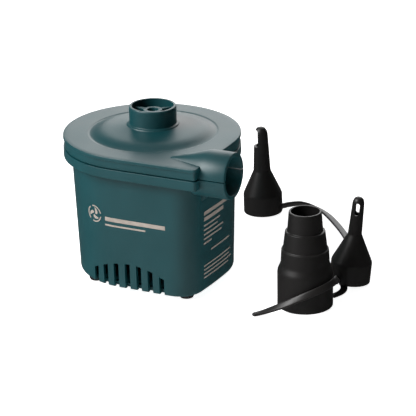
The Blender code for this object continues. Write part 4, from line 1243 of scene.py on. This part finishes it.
def build_stage(studio):
    scene = bpy.context.scene
    scene.view_settings.view_transform = "Standard"
    bm = bmesh.new()
    bmesh.ops.create_grid(bm, x_segments=8, y_segments=8, size=4.0)
    mesh = bpy.data.meshes.new("studio_floor")
    bm.to_mesh(mesh)
    bm.free()
    floor = bpy.data.objects.new("studio_floor", mesh)
    scene.collection.objects.link(floor)
    made = Finish("floor_paint", emission_strength=0.95)
    tone = made.noise(made.place, 3.0, 2.0)
    made.set("Base Color", made.mixed(tone, rgba(studio.floor), rgba(studio.floor, 1.02)))
    made.set("Emission Color", made.mixed(tone, (1, 1, 1, 1), (0.98, 0.98, 0.98, 1)))
    made.set("Roughness", 0.8 + tone * 0.1)
    floor.data.materials.append(made.made)
    floor.visible_glossy = False

    aim = Vector((-0.0076, -0.0219, 0.0364))
    for name, at, size, power in (("key_light", (-0.75, -0.85, 0.95), 0.7, studio.key_power),
                                  ("top_light", (0.0, 0.15, 1.25), 1.3, studio.top_power),
                                  ("back_light", (-0.35, 1.25, 0.62), 1.1, studio.back_power)):
        data = bpy.data.lights.new(name, "AREA")
        data.size = size
        data.energy = power
        light = bpy.data.objects.new(name, data)
        light.location = at
        light.rotation_euler = (aim - Vector(at)).to_track_quat("-Z", "Y").to_euler()
        scene.collection.objects.link(light)

    world = bpy.data.worlds.new("studio_air")
    scene.world = world
    world.use_nodes = True
    sky = Graph(world.node_tree)
    ahead = sky.node("ShaderNodeTexCoord").outputs["Generated"]
    up = Term(sky, sky.node("ShaderNodeSeparateXYZ", None, {0: ahead}).outputs["Z"])

    def facing(x, y):
        """The cosine of the angle between a direction and a bearing."""
        made = sky.node("ShaderNodeVectorMath", {"operation": "DOT_PRODUCT"}, {0: ahead, 1: (x, y, 0.0)})
        return Term(sky, made.outputs["Value"])

    high = facing(-0.35, 0.94).above(0.45, 0.95) * (1 - up.above(0.35, 0.7)) * 6.5 + 0.08
    low = (facing(-0.35, -0.94).above(0.1, 0.95) * 3.0 + facing(-0.6, 0.8).above(0.5, 0.95) * 2.0
           + (up * -1).above(0.45, 0.85) * 3.0 + 0.02)
    share = up.above(-0.06, 0.06)
    glow = high * share + low * (1 - share)
    sky.link(glow, world.node_tree.nodes["Background"].inputs["Strength"])

    data = bpy.data.cameras.new("view")
    data.sensor_width = 36.0
    data.lens = 181.3
    data.clip_start = 0.05
    data.clip_end = 20.0
    camera = bpy.data.objects.new("view", data)
    right = Vector((0.90403, 0.42716, -0.01647)).normalized()
    ahead = Vector((-0.40340, 0.83972, -0.36352)).normalized()
    rise = right.cross(ahead)
    camera.matrix_world = Matrix.Translation((0.47970, -1.03726, 0.47598)) @ Matrix(
        (right, rise, -ahead)).transposed().to_4x4()
    scene.collection.objects.link(camera)
    scene.camera = camera


# ---- operators, panel and registration


class AIRPUMP_OT_finishes(Operator):
    """Make the finishes and put them on the CAD pieces that stay"""

    bl_idname = "airpump.finishes"
    bl_label = "Finishes"

    def execute(self, context):
        pump = context.scene.air_pump
        make_finishes(pump.casing, pump.nozzles)
        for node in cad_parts.values():
            name = node.data.materials[0].name.split(".")[0]
            node.data.materials[0] = FINISHES[name]
        return {"FINISHED"}


class AIRPUMP_OT_stage(Operator):
    """Make the floor, the lights and the camera"""

    bl_idname = "airpump.stage"
    bl_label = "Stage"

    def execute(self, context):
        build_stage(context.scene.air_pump.studio)
        return {"FINISHED"}


class AIRPUMP_OT_straps(Operator):
    """Make the two flat straps that tie the nozzles together"""

    bl_idname = "airpump.straps"
    bl_label = "Straps"

    def execute(self, context):
        build_straps(context.scene.air_pump.nozzles)
        return {"FINISHED"}


class AIRPUMP_OT_nozzles(Operator):
    """Make the three nozzles"""

    bl_idname = "airpump.nozzles"
    bl_label = "Nozzles"

    def execute(self, context):
        build_nozzles()
        return {"FINISHED"}


class AIRPUMP_OT_cover(Operator):
    """Make the top cover"""

    bl_idname = "airpump.cover"
    bl_label = "Top Cover"

    def execute(self, context):
        mount(build_cover(context.scene.air_pump.casing), "casing", "casing", "top_cover")
        return {"FINISHED"}


class AIRPUMP_OT_body(Operator):
    """Make the body shell with its vents"""

    bl_idname = "airpump.body"
    bl_label = "Body Shell"

    def execute(self, context):
        mount(build_body(context.scene.air_pump.casing), "casing", "casing", "body_shell")
        return {"FINISHED"}


class AIRPUMP_OT_panel_parts(Operator):
    """Make the switch, the charging port and the lamp"""

    bl_idname = "airpump.panel_parts"
    bl_label = "Switch and Port"

    def execute(self, context):
        build_switch()
        build_port()
        return {"FINISHED"}


class AIRPUMP_OT_fan(Operator):
    """Make the impeller behind the inlet"""

    bl_idname = "airpump.fan"
    bl_label = "Impeller"

    def execute(self, context):
        build_impeller(context.scene.air_pump.fan)
        return {"FINISHED"}


class AIRPUMP_OT_fasteners(Operator):
    """Make the screws and the rubber feet"""

    bl_idname = "airpump.fasteners"
    bl_label = "Screws and Feet"

    def execute(self, context):
        build_screws(context.scene.air_pump.fasteners)
        build_feet(context.scene.air_pump.fasteners)
        return {"FINISHED"}


class AIRPUMP_OT_marks(Operator):
    """Make the generic printed marks on the casing"""

    bl_idname = "airpump.marks"
    bl_label = "Printed Marks"

    def execute(self, context):
        build_marks()
        return {"FINISHED"}


STEPS = (AIRPUMP_OT_finishes, AIRPUMP_OT_stage, AIRPUMP_OT_straps, AIRPUMP_OT_nozzles, AIRPUMP_OT_cover,
         AIRPUMP_OT_body, AIRPUMP_OT_marks, AIRPUMP_OT_panel_parts, AIRPUMP_OT_fan, AIRPUMP_OT_fasteners)


class AirPumpSettings(PropertyGroup):
    """All settings of the air pump."""

    casing: PointerProperty(type=CasingSettings, name="Casing",
                            description="Sizes and colours of the casing")
    fan: PointerProperty(type=FanSettings, name="Fan", description="Sizes of the fan")
    nozzles: PointerProperty(type=NozzleSettings, name="Nozzles",
                             description="Sizes and colours of the nozzles")
    fasteners: PointerProperty(type=FastenerSettings, name="Fasteners",
                               description="Sizes of the screws and feet")
    studio: PointerProperty(type=StudioSettings, name="Studio", description="The floor and lights")


class AIRPUMP_PT_panel(Panel):
    """Lists the steps and the settings"""

    bl_idname = "AIRPUMP_PT_panel"
    bl_label = "Air Pump"
    bl_space_type = "VIEW_3D"
    bl_region_type = "UI"
    bl_category = "Air Pump"

    def draw(self, context):
        pump = context.scene.air_pump
        for step in STEPS:
            self.layout.operator(step.bl_idname)
        for group in (pump.casing, pump.fan, pump.nozzles, pump.fasteners, pump.studio):
            box = self.layout.box()
            for key in group.__annotations__:
                box.prop(group, key)


CLASSES = (CasingSettings, FanSettings, NozzleSettings, FastenerSettings, StudioSettings, AirPumpSettings,
           *STEPS, AIRPUMP_PT_panel)


def register():
    for made in CLASSES:
        bpy.utils.register_class(made)
    bpy.types.Scene.air_pump = PointerProperty(type=AirPumpSettings)


def unregister():
    del bpy.types.Scene.air_pump
    for made in reversed(CLASSES):
        bpy.utils.unregister_class(made)


def main():
    register()
    bpy.ops.airpump.finishes()
    bpy.ops.airpump.stage()
    bpy.ops.airpump.straps()
    bpy.ops.airpump.nozzles()
    bpy.ops.airpump.cover()
    bpy.ops.airpump.body()
    bpy.ops.airpump.marks()
    bpy.ops.airpump.panel_parts()
    bpy.ops.airpump.fan()
    bpy.ops.airpump.fasteners()


if __name__ == "__main__":
    main()
